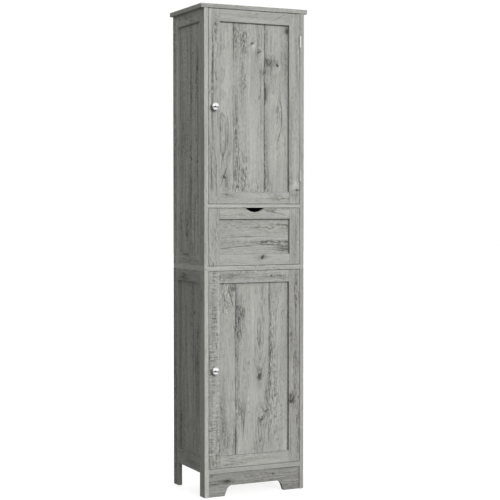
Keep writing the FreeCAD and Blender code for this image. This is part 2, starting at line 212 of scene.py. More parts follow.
class Graph:
    """The node graph of one material or world."""

    def __init__(self, owner: bpy.types.Material | bpy.types.World) -> None:
        """Start an empty graph.

        Args:
            owner: The material or world that the graph is for.
        """
        self.owner = owner
        self.owner.use_nodes = True
        self.tree = self.owner.node_tree
        self.tree.nodes.clear()

    @classmethod
    def finish(cls, name: str) -> "Graph":
        """Start the graph of a new material."""
        return cls(bpy.data.materials.new(name))

    def add(
        self,
        kind: str,
        settings: Mapping[str, Any] | None = None,
        inputs: Mapping[int | str, Any] | None = None,
    ) -> bpy.types.Node:
        """Add one node.

        Args:
            kind: Blender's type name of the node.
            settings: Its properties, set before its sockets.
            inputs: Values or links by socket number, name or identifier.

        Returns:
            The node.
        """
        node = self.tree.nodes.new(kind)
        for name, value in (settings or {}).items():
            setattr(node, name, value)
        for key, value in (inputs or {}).items():
            self._feed(self._socket(node, key), value)
        return node

    @staticmethod
    def _socket(node: bpy.types.Node, key: int | str) -> bpy.types.NodeSocket:
        """Find an input socket.

        Args:
            node: The node.
            key: The socket's number, identifier or name.

        Returns:
            The socket.
        """
        if isinstance(key, int):
            return node.inputs[key]
        by_identifier = {socket.identifier: socket for socket in node.inputs}
        return by_identifier.get(key) or node.inputs[key]

    def _feed(self, socket: bpy.types.NodeSocket, value: Any) -> None:
        """Link or set a socket.

        Args:
            socket: The socket.
            value: A Value, Tint, socket, colour or number.
        """
        if isinstance(value, Value):
            value = value.socket
        if isinstance(value, Tint):
            value = value.source
        if isinstance(value, bpy.types.NodeSocket):
            self.tree.links.new(value, socket)
        elif isinstance(value, tuple) and socket.type == "RGBA":
            socket.default_value = (*value, 1.0)[:4]
        else:
            socket.default_value = value

    def math(self, operation: str, *terms: Value | float) -> Value:
        """Add a Math node.

        Args:
            operation: Blender's name of the operation.
            terms: The numbers or Values it works on.

        Returns:
            The result.
        """
        node = self.add("ShaderNodeMath", {"operation": operation}, dict(enumerate(terms)))
        return Value(self, node.outputs[0])

    def split(self, vector: bpy.types.NodeSocket) -> tuple[Value, Value, Value]:
        """Take a vector apart.

        Args:
            vector: The socket that gives it.

        Returns:
            Its x, y and z.
        """
        x, y, z = self.add("ShaderNodeSeparateXYZ", None, {0: vector}).outputs
        return Value(self, x), Value(self, y), Value(self, z)

    def place(self) -> tuple[Value, Value, Value]:
        """Find the point on the piece.

        Returns:
            Its x, y and z in millimetres.
        """
        point = self.add("ShaderNodeTexCoord").outputs["Object"]
        scaled = self.add("ShaderNodeVectorMath", {"operation": "SCALE"}, {0: point, 3: 1000.0})
        return self.split(scaled.outputs[0])

    def noise(
        self,
        x: Value | float,
        y: Value | float,
        z: Value | float,
        detail: float = 0.0,
        rough: float = 0.5,
    ) -> Value:
        """Soft noise, MEAN on average, one bump per unit of length.

        Args:
            x: First coordinate.
            y: Second coordinate.
            z: Third coordinate.
            detail: Extra octaves.
            rough: Strength of each extra octave.

        Returns:
            The noise.
        """
        point = self.add("ShaderNodeCombineXYZ", None, {0: x, 1: y, 2: z})
        inputs = {"Vector": point.outputs[0], "Scale": 1.0, "Detail": detail, "Roughness": rough}
        node = self.add("ShaderNodeTexNoise", {"noise_dimensions": "3D"}, inputs)
        return Value(self, node.outputs[0])

    def surface(
        self,
        colour: Tint | Colour,
        roughness: Value | float,
        height: Value | None = None,
        relief: float = 0.3,
        depth: float = 0.3,
        fixed: Mapping[str, Any] | None = None,
    ) -> bpy.types.Material:
        """Finish the material.

        Args:
            colour: Base colour.
            roughness: Roughness.
            height: Height for the bump, 0 to 1.
            relief: Bump strength.
            depth: Height of the bump in millimetres.
            fixed: Other Principled sockets that are the same all over.

        Returns:
            The material.
        """
        inputs: dict[int | str, Any] = {"Base Color": colour, "Roughness": roughness, **(fixed or {})}
        if height is not None:
            bumps = {"Strength": relief, "Distance": depth * MM, "Height": height}
            inputs["Normal"] = self.add("ShaderNodeBump", None, bumps).outputs[0]
        shader = self.add("ShaderNodeBsdfPrincipled", None, inputs)
        self.add("ShaderNodeOutputMaterial", None, {0: shader.outputs[0]})
        return self.owner


# ---------------------------------------------------------------- wood
class Grain(Enum):
    """Which axes run along the grain, across it and into the board."""

    UPRIGHT_FRONT = (2, 0, 1)
    UPRIGHT_SIDE = (2, 1, 0)
    LEVEL_FRONT = (0, 2, 1)
    LEVEL_SIDE = (1, 2, 0)
    LEVEL_FLAT = (0, 1, 2)


@dataclass(frozen=True)
class Spot:
    """A point on a board: its place along the grain, across it and into the board."""

    graph: Graph
    along: Value
    across: Value
    depth: Value


@dataclass(frozen=True)
class Layer:
    """One layer of noise in the wood: its length along the grain and its width across.

    Offset keeps it apart from the other layers, and detail and rough are its octaves.
    """

    length: float
    width: float
    offset: float = 0.0
    detail: float = 0.0
    rough: float = 0.5

    def over(self, spot: Spot, shift: Value | float | None = None) -> Value:
        """Spread the layer over a board.

        Args:
            spot: The point on the board.
            shift: Offset of this plank in widths, where the point has none yet.

        Returns:
            The noise.
        """
        cross = spot.across / self.width
        if shift is not None:
            cross = cross + shift
        if self.offset:
            cross = cross + self.offset
        depth = spot.depth / self.width
        return spot.graph.noise(spot.along / self.length, cross, depth, self.detail, self.rough)


WANDER = Layer(210, 75, 0.0, 3.0, 0.55)
FIBRE = Layer(60, 1.7, 0.0, 3.0, 0.7)
STREAK = Layer(220, 5.2, 3.1, 2.0, 0.6)
BAND = Layer(380, 22, 9.7, 1.0)
WEATHER = Layer(190, 17, 6.1, 2.0, 0.6)
MOTTLE = Layer(13, 4.6, 8.8, 3.0, 0.65)
CONTOUR = Layer(120, 27, 1.9, 2.0, 0.55)
PORES = Layer(9, 0.6, 5.3)
SAW_MARKS = Layer(4.6, 24, 0.0, 1.0, 0.6)
SAW_PATCHES = Layer(60, 14, 4.4, 1.0)
PLANK_SHIFT = 17.3  # how far apart in the noise two planks of a board are
SEED_SHIFT = 7.31  # how far apart two boards are
GRAIN_WANDER = 34.0  # millimetres that the grain strays to a side
VEIN_WANDER = 22.0  # millimetres that a vein strays
FRAME_EDGE = 0.24  # darkness of the edges of the doors' and the drawer's frames


@dataclass(frozen=True)
class Knot:
    """A knot: its place along and across the grain, its size, darkness and lean."""

    along: float
    across: float
    radius: float = 9.0
    dark: float = 0.5
    lean: float = 0.0

    def bend(self, spot: Spot, bent: Value) -> Value:
        """Bend the grain round the knot.

        Args:
            spot: The point on the board.
            bent: Its place across the grain as bent so far.

        Returns:
            The bent place.
        """
        v = spot.across.about(self.across, self.radius * 2.2)
        near = v.bell(spot.along.about(self.along, self.radius * 3.8))
        return bent.plus(v * near, self.radius * -1.87)

    def core(self, spot: Spot, ragged: Value) -> Value:
        """Darkness of the knot's heart and of the ring round it.

        Args:
            spot: The point on the board.
            ragged: Blotches, which roughen its outline.

        Returns:
            The darkness, 0 to 1.
        """
        u = spot.along.about(self.along, self.radius * 1.15)
        v = spot.across.about(self.across, self.radius).plus(u, -self.lean)
        ring = (u * u).plus(v, v).root() + ragged
        return ring.smooth(1.1, 0.3) + ring.smooth(0.9, 1.2) * ring.smooth(2.1, 1.3) * 0.13


@dataclass(frozen=True)
class Shade:
    """A soft dark patch: grain, and on some boards painted shade or painted light; dark is negative for a
    light one.

    With a side of 1 or -1 the patch ends sharply at its place across the grain and lies
    on the larger or the smaller side of it only.  Curl makes its grain rough and curly.
    """

    along: float
    across: float
    length: float
    width: float
    dark: float = 0.25
    side: int = 0
    curl: float = 0.0

    def mask(self, spot: Spot) -> Value:
        """How much of the patch is at a point.

        Args:
            spot: The point on the board.

        Returns:
            The amount, 0 to 1.
        """
        v = spot.across.about(self.across, self.width)
        mask = v.bell(spot.along.about(self.along, self.length))
        return mask * (v * float(self.side) > 0.0) if self.side else mask


@dataclass(frozen=True)
class Vein:
    """A thin dark line that wanders along the grain.

    Lean is its slope, and bow is how far its ends lie to one side of its middle.
    """

    along: float
    across: float
    half: float
    dark: float = 0.45
    lean: float = 0.0
    bow: float = 0.0
    width: float = 1.6

    def line(self, spot: Spot, ragged: Value) -> Value:
        """Darkness of the line.

        Args:
            spot: The point on the board, after the grain's wandering.
            ragged: Blotches, which break up its ends.

        Returns:
            The darkness, 0 to 1.
        """
        part = spot.along.about(self.along, self.half)
        path = part * (part * self.bow + self.lean * self.half)
        line = (spot.across - path).about(self.across, self.width).bell()
        return line * abs(part).plus(ragged, 0.3).smooth(1.1, 0.6)


@dataclass(frozen=True)
class Heart:
    """Cathedral figure: nested arches whose legs run along the grain.

    A positive opening lets the legs run toward larger values along the grain.  With no
    opening the figure is closed, and eye is its width over its length.
    """

    along: float
    across: float
    length: float = 160.0
    width: float = 26.0
    opening: float = 0.11
    pitch: float = 7.0
    dark: float = 0.40
    tip: float = 7.0
    eye: float = 0.0

    def arches(self, spot: Spot, fibre: Value, swell: Value) -> Value:
        """Darkness of the arches.

        Args:
            spot: The point in the bent grain.
            fibre: Fine fibres, which roughen the arches.
            swell: Slow noise about zero, which makes their spacing uneven.

        Returns:
            The darkness, 0 to 1.
        """
        run = spot.along - self.along
        cross = spot.across - self.across
        ring = (cross * cross + self.tip**2).plus(run * run, self.eye**2).root()
        ring = ring.plus(run, -self.opening).plus(swell, 9.0)
        line = (ring / self.pitch).plus(fibre, 0.35).fraction() ** 5
        middle = self.length / 2 * ((self.opening > 0) - (self.opening < 0))
        return line * run.about(middle, self.length * 0.62).bell(cross / self.width)


@dataclass(frozen=True)
class GreyOak:
    """Weathered grey oak foil: fibres, streaks, plank joints, knots and saw marks.

    Tone scales its colour.  Edge is the darkness of the piece's edges, negative where
    they are worn light, and arris is how wide they are eased.  No two nodes that have
    different seeds have the same grain.
    """

    node: str
    grain: Grain = Grain.UPRIGHT_FRONT
    tone: float = 1.0
    rough: float = 1.0
    contrast: float = 1.0
    sawn: float = 0.0
    edge: float = -0.10
    arris: float = 0.5
    joints: tuple[float, ...] = ()
    knots: tuple[Knot, ...] = ()
    shades: tuple[Shade, ...] = ()
    veins: tuple[Vein, ...] = ()
    hearts: tuple[Heart, ...] = ()
    seed: int = 1
    light: Colour = (0.505, 0.512, 0.487)
    dark: Colour = (0.080, 0.081, 0.075)
    worn: Colour = (1.0, 0.98, 0.965)

    def material(self) -> bpy.types.Material:
        """Build the node's own material.

        Returns:
            The material.
        """
        g = Graph.finish(f"grey_oak_{self.node}")
        place = g.place()
        spot = Spot(g, *(place[axis] for axis in self.grain.value))
        plank: Value | float = 0.0
        for joint in self.joints:
            plank = (spot.across > joint) + plank
        shift = plank * PLANK_SHIFT + self.seed * SEED_SHIFT
        wander = WANDER.over(spot, shift) - MEAN
        bent = spot.across + wander * GRAIN_WANDER
        for knot in self.knots:
            bent = knot.bend(spot, bent)
        grown = replace(spot, across=bent + shift)
        fibre, streak, band, weather, mottle, contour, pores = (
            layer.over(grown) for layer in (FIBRE, STREAK, BAND, WEATHER, MOTTLE, CONTOUR, PORES)
        )
        rough = weather.smooth(0.50, 0.66) * self.rough
        masks = {shade: shade.mask(spot) for shade in self.shades}
        for shade, mask in masks.items():
            if shade.curl:
                rough = rough.plus(mask, shade.curl)
        lines = (contour * 7 + fibre * 0.45).fraction() ** 4
        grain = (streak - MEAN) * 0.42 + (band - MEAN) * 0.45 + (fibre - MEAN) * (rough * 0.45 + 0.75)
        grain = grain + lines * (rough * 0.30 + 0.13) + (mottle - MEAN) * (rough * 1.1 + 0.22)
        grain = grain + pores.smooth(0.60, 0.70) * 0.22
        darkness = grain * self.contrast + self._figure(replace(spot, across=bent), fibre)
        breakup = mottle * 2.0 + streak * 0.8 - 0.75
        darkness = self._marks(darkness, spot, (mottle - MEAN) * 2.6, wander, masks, breakup)
        joints = self._joint_lines(spot)
        darkness = darkness + joints
        if self.sawn:
            marks = SAW_MARKS.over(spot, shift) - MEAN
            patches = SAW_PATCHES.over(spot, shift).smooth(0.36, 0.56)
            darkness = darkness + marks * patches * self.sawn
        wear = self._edge_wear(place) * band.smooth(0.2, 0.6)
        darkness = (darkness + 0.25 + wear * self.edge).high(0.0).low(1.0)
        light = tuple(channel * self.tone for channel in self.light)
        dark = tuple(channel * self.tone for channel in self.dark)
        colour = Tint(g, light).toward(dark, darkness)
        colour = colour.toward(self.worn, weather.smooth(0.38, 0.62), "MULTIPLY")
        roughness = 0.50 + darkness * 0.22 - wear * 0.06
        fibres = 0.8 - (fibre - MEAN) * 0.7 - (mottle - MEAN) * 0.2
        height = fibres - joints * 0.8 - pores.smooth(0.56, 0.72) * 0.4
        return g.surface(colour, roughness, height, 0.35, 0.35, {"Specular IOR Level": 0.42})

    def _figure(self, spot: Spot, fibre: Value) -> Value | float:
        """Darkness of the cathedral arches.

        Args:
            spot: The point in the bent grain.
            fibre: Fine fibres, which roughen the arches.

        Returns:
            The darkness.
        """
        total: Value | float = 0.0
        for index, heart in enumerate(self.hearts):
            swell = spot.graph.noise(spot.along / 60, self.seed + index * 3.7, 0.5, 2.0) - MEAN
            total = heart.arches(spot, fibre, swell) * heart.dark + total
        return total

    def _marks(
        self,
        darkness: Value,
        spot: Spot,
        ragged: Value,
        wander: Value,
        masks: Mapping[Shade, Value],
        breakup: Value,
    ) -> Value:
        """Add the knots, the soft patches and the veins.

        Args:
            darkness: Darkness without them.
            spot: The point on the board.
            ragged: Blotches about zero, which break up the knots and veins.
            wander: Wandering of the grain, which the veins follow.
            masks: How much of each patch is at the point.
            breakup: Blotches and streaks, which break up the patches.

        Returns:
            The darkness with them.
        """
        for knot in self.knots:
            darkness = darkness.plus(knot.core(spot, ragged), knot.dark)
        for shade, mask in masks.items():
            darkness = darkness.plus(mask * breakup, shade.dark)
        drifted = replace(spot, across=spot.across.plus(wander, VEIN_WANDER))
        for vein in self.veins:
            darkness = darkness.plus(vein.line(drifted, ragged), vein.dark)
        return darkness

    def _joint_lines(self, spot: Spot) -> Value | float:
        """Darkness of the joints between the planks, with a shade on the far side.

        Args:
            spot: The point on the board.

        Returns:
            The darkness.
        """
        total: Value | float = 0.0
        for index, joint in enumerate(self.joints):
            fade = spot.graph.noise(spot.along / 110, index * 5.1 + self.seed, 0.7, 1.0)
            fade = fade.smooth(0.36, 0.60)
            gap = spot.across - joint
            line = abs(gap).smooth(2.6, 0.5) * (fade * 0.26 + 0.16)
            side = gap.smooth(15.0, 0.0) * (gap > 0.0) * (fade * 0.12 + 0.03)
            total = line + side + total
        return total

    def _edge_wear(self, place: tuple[Value, Value, Value]) -> Value:
        """1 on the piece's edges, falling to 0 just over a millimetre away.

        Args:
            place: The point on the piece.

        Returns:
            The wear.
        """
        low, high = box_mm(self.node)
        a, b, c = ((p - low[i]).low(high[i] - p) for i, p in enumerate(place))
        middle = a.low(b).high(a.high(b).low(c))
        return middle.smooth(1.5, 0.1)


def seeded(first: int, *boards: GreyOak) -> tuple[GreyOak, ...]:
    """Give each board its own seed.

    Args:
        first: The first board's seed; the others count up from it.
        boards: The boards.

    Returns:
        The boards with their seeds.
    """
    return tuple(replace(board, seed=first + index) for index, board in enumerate(boards))


# ---------------------------------------------------------------- other finishes
@dataclass(frozen=True)
class Metal:
    """Plated or bare metal with faint smudges and fine scratches."""

    name: str
    colour: Colour
    roughness: float
    smudge: float = 0.06
    scratch: float = 0.03
    dulling: float = 0.90
    smudge_size: float = 9.0
    scratch_width: float = 0.35
    scratch_length: float = 6.0

    def material(self) -> bpy.types.Material:
        """Build the finish.

        Returns:
            The material.
        """
        g = Graph.finish(self.name)
        x, y, z = g.place()
        size, width = self.smudge_size, self.scratch_width
        cloud = g.noise(x / size, y / size, z / size, 2.0)
        scratch = g.noise(x / width, y / width, z / self.scratch_length, 1.0)
        smudges = cloud.smooth(0.4, 0.75) * self.smudge
        roughness = self.roughness + smudges + (scratch - MEAN) * self.scratch
        dull = tuple(channel * self.dulling for channel in self.colour)
        colour = Tint(g, self.colour).toward(dull, cloud.smooth(0.45, 0.8))
        return g.surface(colour, roughness, scratch, 0.05, 0.02, {"Metallic": 1.0})


@dataclass(frozen=True)
class Moulded:
    """Plain material such as plastic or enamel: mottle, speckle and grain."""

    name: str
    colour: Colour
    shade: Colour
    roughness: float = 0.5
    mottle: float = 12.0
    speck: float = 0.8
    relief: float = 0.12

    def material(self) -> bpy.types.Material:
        """Build the finish.

        Returns:
            The material.
        """
        g = Graph.finish(self.name)
        x, y, z = g.place()
        cloud = g.noise(x / self.mottle, y / self.mottle, z / self.mottle, 2.0)
        speck = g.noise(x / self.speck, y / self.speck, z / self.speck, 1.0)
        amount = cloud.smooth(0.35, 0.7) * 0.6 + speck.smooth(0.55, 0.75) * 0.4
        colour = Tint(g, self.colour).toward(self.shade, amount)
        return g.surface(colour, self.roughness + amount * 0.12, speck, self.relief, 0.08)


CHROME = Metal("polished_chrome", (0.93, 0.93, 0.94), 0.05, 0.05, 0.02)
NICKEL = Metal("bright_nickel", (0.94, 0.935, 0.915), 0.16, 0.08, 0.04)
ZINC = Metal("zinc_plated_steel", (0.62, 0.63, 0.64), 0.34, 0.12, 0.08)
ENAMEL = Moulded("runner_enamel", (0.78, 0.78, 0.75), (0.66, 0.66, 0.64), 0.32, 20.0, 1.5, 0.05)
NYLON = Moulded("white_nylon", (0.82, 0.82, 0.79), (0.70, 0.70, 0.67), 0.42, 6.0, 0.5, 0.08)
CATCH = Moulded("catch_plastic", (0.50, 0.49, 0.46), (0.40, 0.40, 0.38), 0.48, 8.0, 0.6, 0.12)


# ---------------------------------------------------------------- mesh making
class Way(Enum):
    """Which way a fitting looks."""

    LEFT = (-1, 0, 0)
    RIGHT = (1, 0, 0)
    FRONT = (0, -1, 0)
    REAR = (0, 1, 0)
    DOWN = (0, 0, -1)


def new_piece(
    name: str, mesh: bmesh.types.BMesh, body: str, finish: bpy.types.Material
) -> bpy.types.Object:
    """Turn a mesh in millimetres into a piece that rides on a body.

    Args:
        name: The piece's name.
        mesh: Its mesh, which is freed.
        body: The CAD body it rides on.
        finish: Its material.

    Returns:
        The object.
    """
    bmesh.ops.scale(mesh, vec=Vector((MM, MM, MM)), verts=mesh.verts)
    bmesh.ops.recalc_face_normals(mesh, faces=mesh.faces)
    for face in mesh.faces:
        face.smooth = True
    for edge in mesh.edges:
        edge.smooth = not (len(edge.link_faces) == 2 and edge.calc_face_angle() > SHARP_ANGLE)
    data = bpy.data.meshes.new(name)
    mesh.to_mesh(data)
    mesh.free()
    data.materials.append(finish)
    piece = bpy.data.objects.new(name, data)
    bpy.context.scene.collection.objects.link(piece)
    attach(piece, body)
    return piece


def ring(radius: float, height: float, count: int) -> list[Vector]:
    """Points of a ring round the Z axis."""
    turns = (2 * math.pi * step / count for step in range(count))
    return [Vector((radius * math.cos(t), radius * math.sin(t), height)) for t in turns]


def lathe(mesh: bmesh.types.BMesh, profile: Profile, place: Matrix, sides: int) -> None:
    """Add a turned form to a mesh.

    Args:
        mesh: The mesh.
        profile: Radius and height of each ring, from one end to the other.
        place: Where the axis, local +Z, goes.
        sides: Points round each ring; a ring on the axis is one point.
    """
    rings = []
    for radius, height in profile:
        points = ring(radius, height, sides if radius > TOUCHING else 1)
        rings.append([mesh.verts.new(place @ point) for point in points])
    for low, high in zip(rings, rings[1:]):
        for step in range(sides):
            after = (step + 1) % sides
            around = ((low, step), (low, after), (high, after), (high, step))
            corners = list(dict.fromkeys(verts[turn % len(verts)] for verts, turn in around))
            if len(corners) > 2:
                mesh.faces.new(corners)


def facing(x: float, y: float, z: float, way: Way) -> Matrix:
    """Placement at a point with local +Z along a direction.

    Args:
        x: Millimetres to the right.
        y: Millimetres to the rear.
        z: Millimetres up.
        way: The direction.

    Returns:
        The placement.
    """
    turn = Vector(way.value).to_track_quat("Z", "Y").to_matrix().to_4x4()
    return Matrix.Translation((x, y, z)) @ turn


def arc(
    centre: tuple[float, float], radius: float, start: float, end: float, steps: int
) -> list[tuple[float, float]]:
    """Points on an arc of a turned profile.

    Args:
        centre: Radius and height of the arc's centre.
        radius: The arc's radius.
        start: First angle in degrees.
        end: Last angle in degrees.
        steps: Number of steps.

    Returns:
        Radius and height of each point.
    """
    points = []
    for step in range(steps + 1):
        angle = math.radians(start + (end - start) * step / steps)
        points.append((centre[0] + radius * math.cos(angle), centre[1] + radius * math.sin(angle)))
    return points


@dataclass(frozen=True)
class ScrewHead:
    """A screw head with a cross recess, whose sizes are shares of the head's radius.

    Crown is the flat of the head and depth that of the recess; arm and half are the
    length and the half width of the recess's arms, as shares of the crown's radius.
    """

    radius: float
    rise: float
    sink: float
    crown: float = 0.68
    depth: float = 0.22
    arm: float = 0.74
    half: float = 0.17

    def add(self, mesh: bmesh.types.BMesh, place: Matrix) -> None:
        """Add the head to a mesh.

        Args:
            mesh: The mesh.
            place: The head's centre on the surface, +Z outwards.
        """
        r, top, crown = self.radius, self.rise, self.radius * self.crown
        side = [(r * 0.7, -self.sink), (r, 0.0), ((r + crown) / 2, top * 0.75), (crown, top)]
        lathe(mesh, side, place, FITTING_SIDES)
        arm, half, low = crown * self.arm, crown * self.half, top - r * self.depth
        quarter = (Vector((arm, -half, 0)), Vector((arm, half, 0)), Vector((half, half, 0)))
        turns = (Matrix.Rotation(step * math.pi / 2, 4, "Z") for step in range(4))
        outline = [turn @ point for turn in turns for point in quarter]
        upper = [mesh.verts.new(place @ (point + Vector((0, 0, top)))) for point in outline]
        lower = [mesh.verts.new(place @ (point + Vector((0, 0, low)))) for point in outline]
        rim = [mesh.verts.new(place @ point) for point in ring(crown, top, FITTING_SIDES)]
        for step in range(len(outline)):
            after, edge = (step + 1) % len(outline), 2 * step
            mesh.faces.new([upper[after], upper[step], rim[edge - 1], rim[edge], rim[edge + 1]])
            mesh.faces.new([upper[step], upper[after], lower[after], lower[step]])
        for tip in range(0, len(outline), 3):
            mesh.faces.new([lower[tip - 1], lower[tip], lower[tip + 1], lower[tip + 2]])
        mesh.faces.new(lower[2::3])


def screws(
    name: str, heads: Iterable[Matrix], body: str, finish: bpy.types.Material, head: ScrewHead
) -> bpy.types.Object:
    """Make a group of equal screw heads as one piece.

    Args:
        name: The piece's name.
        heads: Placement of each head.
        body: The CAD body they ride on.
        finish: Their material.
        head: The kind of head.

    Returns:
        The piece.
    """
    mesh = bmesh.new()
    for place in heads:
        head.add(mesh, place)
    bmesh.ops.remove_doubles(mesh, verts=mesh.verts, dist=TOUCHING)
    return new_piece(name, mesh, body, finish)


def dress(node: str, material: bpy.types.Material, round_edges: float = 0.0) -> None:
    """Give a CAD node its material and, if asked, slightly rounded edges.

    Args:
        node: The node's name.
        material: Its material.
        round_edges: Width of the rounding in millimetres.
    """
    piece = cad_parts[node]
    if not piece.material_slots:
        piece.data.materials.append(material)
    for slot in piece.material_slots:
        slot.link = "OBJECT"
        slot.material = material
    if round_edges:
        weld = piece.modifiers.new("weld", "WELD")
        weld.merge_threshold = WELD_METRES
        bevel = piece.modifiers.new("arris", "BEVEL")
        bevel.width = round_edges * MM
        bevel.segments = 2
        bevel.limit_method = "ANGLE"
        bevel.angle_limit = ARRIS_ANGLE
        piece.modifiers.new("shading", "WEIGHTED_NORMAL")


def dress_boards(boards: Sequence[GreyOak]) -> int:
    """Dress wooden nodes.

    Args:
        boards: Their finishes.

    Returns:
        The number of nodes.
    """
    for board in boards:
        dress(board.node, board.material(), board.arris)
    return len(boards)


# ---------------------------------------------------------------- carcass
CARCASS_BOARDS = seeded(
    3,
    GreyOak(
        "upper_left_front_stile", Grain.UPRIGHT_SIDE, 0.97, rough=0.5,
        shades=(
            # Painted light: the front face at y -128 is painted lighter and the side face darker, as a lit
            # and a shaded face.
            Shade(1350, -128.1, 900, 0.7, -0.28), Shade(1350, -125, 900, 3.0, 0.10),
            Shade(1350, -106, 1200, 15, 0.20),
        ),
    ),
    GreyOak(
        "upper_left_rear_stile", Grain.UPRIGHT_SIDE, 1.30, contrast=1.3,
        shades=(
            Shade(1540, 138, 90, 9, 0.2), Shade(1130, 140, 120, 10, 0.25),
            # Painted light: the inner face of the recess (y 110) is painted lighter, and the outer face (y
            # 132) darker to match, with the tone raised to allow it.
            Shade(1350, 132, 1200, 13, 0.42), Shade(1350, 146, 1200, 3, 0.40),
            Shade(1350, 110, 1200, 1.2, -0.6),
        ),
    ),
    GreyOak(
        "upper_left_rails", Grain.LEVEL_SIDE, 1.05, contrast=1.3,
        shades=(
            Shade(30, 838, 40, 9, 0.6), Shade(-20, 815, 50, 9, 0.3), Shade(0, 1664, 300, 24, 0.13),
            Shade(0, 1035, 300, 20, -0.16),
        ),
    ),
    GreyOak(
        "upper_left_panel", Grain.UPRIGHT_SIDE, 1.07, contrast=1.5, sawn=0.6, joints=(9,),
        knots=(Knot(905, 48, 9, 0.55), Knot(1240, -38, 7, 0.45)),
        shades=(
            Shade(1530, -42, 120, 9, 0.5), Shade(930, 50, 60, 12, 0.4), Shade(1200, -50, 240, 8, 0.35),
            Shade(1350, 8, 600, 8, 0.32), Shade(965, 36, 110, 16, 0.45),
            # Painted light along the rear edge (y 107) and beside the front stile (y -76), where the
            # recess is in shade.
            Shade(1345, 107, 420, 2.0, -0.55), Shade(1350, -76, 420, 14, -0.42),
            Shade(1420, 84, 220, 8, 0.3),
        ),
        veins=(Vein(1480, -52, 150), Vein(1100, 62, 180), Vein(960, -20, 90)),
        hearts=(Heart(1150, 62, 200), Heart(1420, -20, 200, opening=-0.11)),
    ),
    GreyOak("upper_right_front_stile", Grain.UPRIGHT_SIDE, 0.94, rough=0.5, contrast=0.8),
    GreyOak("upper_right_rear_stile", Grain.UPRIGHT_SIDE),
    GreyOak("upper_right_rails", Grain.LEVEL_SIDE),
    GreyOak(
        "upper_right_panel", Grain.UPRIGHT_SIDE, joints=(-25,), knots=(Knot(1390, 30, 9, 0.55),),
        shades=(Shade(1380, 36, 60, 12, 0.4), Shade(1050, -25, 200, 14, 0.3, 1)),
        hearts=(Heart(1100, 40, 220), Heart(1500, -60, 200, opening=-0.12)),
    ),
    # The lower left side's rear leg, rails and panel are toned darker than the upper left side's: painted
    # shade for light that falls off toward the floor.
    GreyOak(
        "lower_left_front_leg", Grain.UPRIGHT_SIDE, 0.945, rough=0.5,
        shades=(
            # Painted light: the front face at y -128 is painted lighter and the side face darker, as a lit
            # and a shaded face.
            Shade(400, -128.1, 900, 0.7, -0.34), Shade(400, -125, 900, 3.0, 0.10),
            Shade(400, -106, 1200, 15, 0.12), Shade(690, -98, 40, 14, 0.3),
        ),
    ),
    GreyOak(
        "lower_left_rear_leg", Grain.UPRIGHT_SIDE, 0.90, contrast=1.3, sawn=0.6,
        shades=(
            # Painted light: the inner face of the recess (y 110) is painted lighter, and the outer face (y
            # 132) darker to match, with the tone raised to allow it.
            Shade(400, 132, 1200, 14, 0.58), Shade(400, 146, 1200, 3, 0.40),
            Shade(400, 110, 1200, 1.2, -0.7),
        ),
    ),
    GreyOak(
        "lower_left_rails", Grain.LEVEL_SIDE, 0.78, contrast=1.3, knots=(Knot(57, 758, 8, 0.6),),
        shades=(
            Shade(50, 758, 34, 12, 0.4), Shade(-10, 110, 40, 14, 0.3), Shade(0, 115, 300, 30, 0.07),
        ),
    ),
    GreyOak(
        "lower_left_panel", Grain.UPRIGHT_SIDE, 0.81, contrast=1.5, sawn=0.6, joints=(-8,),
        knots=(Knot(633, -18, 8, 0.6),),
        shades=(
            Shade(470, -24, 70, 6, 0.5), Shade(480, 104, 50, 6, 0.5), Shade(215, 100, 70, 8, 0.4),
            # Painted light along the rear edge (y 107), and a painted shade beside the front leg (y -74).
            Shade(600, -8, 160, 14, 0.3, 1), Shade(440, 107, 380, 2.0, -0.55),
            Shade(500, 86, 200, 11, -0.35), Shade(400, -74, 520, 9, 0.34),
            Shade(420, -44, 420, 22, 0.14), Shade(420, 30, 420, 15, -0.20),
        ),
        veins=(Vein(560, 60, 120), Vein(300, 40, 120)),
        hearts=(Heart(420, 50, 200), Heart(600, -60, 180, opening=-0.11)),
    ),
    GreyOak("lower_right_front_leg", Grain.UPRIGHT_SIDE, 0.88, rough=0.5, contrast=0.8),
    GreyOak("lower_right_rear_leg", Grain.UPRIGHT_SIDE, 0.95),
    GreyOak("lower_right_rails", Grain.LEVEL_SIDE, 0.95),
    GreyOak(
        "lower_right_panel", Grain.UPRIGHT_SIDE, 0.95, joints=(30,), knots=(Knot(300, -40, 8, 0.5),),
        shades=(Shade(520, 30, 150, 14, 0.3, 1), Shade(290, -46, 60, 14, 0.35)),
        hearts=(Heart(380, 0, 220),),
    ),
    GreyOak(
        "top_board", Grain.LEVEL_FLAT, 0.93, knots=(Knot(-80, 60, 9, 0.5),),
        hearts=(Heart(-120, 20, 240),),
    ),
    # Painted light: the board's left end face (x -192) is painted lighter than its other faces.
    GreyOak("mid_board", Grain.LEVEL_FLAT, 1.06, shades=(Shade(-192, 10, 1.5, 400, -0.22),)),
    GreyOak("bottom_board", Grain.LEVEL_FLAT, 0.92, contrast=0.7),
    GreyOak("drawer_divider", Grain.LEVEL_FLAT, 1.14, contrast=0.6),
    GreyOak(
        # Its low tone is partly its own darker grain and partly painted shade under the bottom board's
        # front edge.
        "front_apron", Grain.LEVEL_FRONT, 0.68, contrast=1.3,
        shades=(
            Shade(-104, 52, 26, 8, 0.6), Shade(-108, 50, 9, 7, 0.5, curl=0.6),
            Shade(-165, 44, 30, 7, 0.55), Shade(40, 62, 60, 6, 0.25),
        ),
        hearts=(Heart(-60, 36, 300, 40, 0.05, 6.0, 0.30),),
    ),
    GreyOak("upper_shelves", Grain.LEVEL_FLAT),
    GreyOak("lower_shelf", Grain.LEVEL_FLAT),
    GreyOak("upper_back_panel", Grain.UPRIGHT_FRONT, 0.92, contrast=0.8, arris=0.0, joints=(-60, 62)),
    GreyOak("lower_back_panel", Grain.UPRIGHT_FRONT, 0.92, contrast=0.8, arris=0.0, joints=(-58, 64)),
)


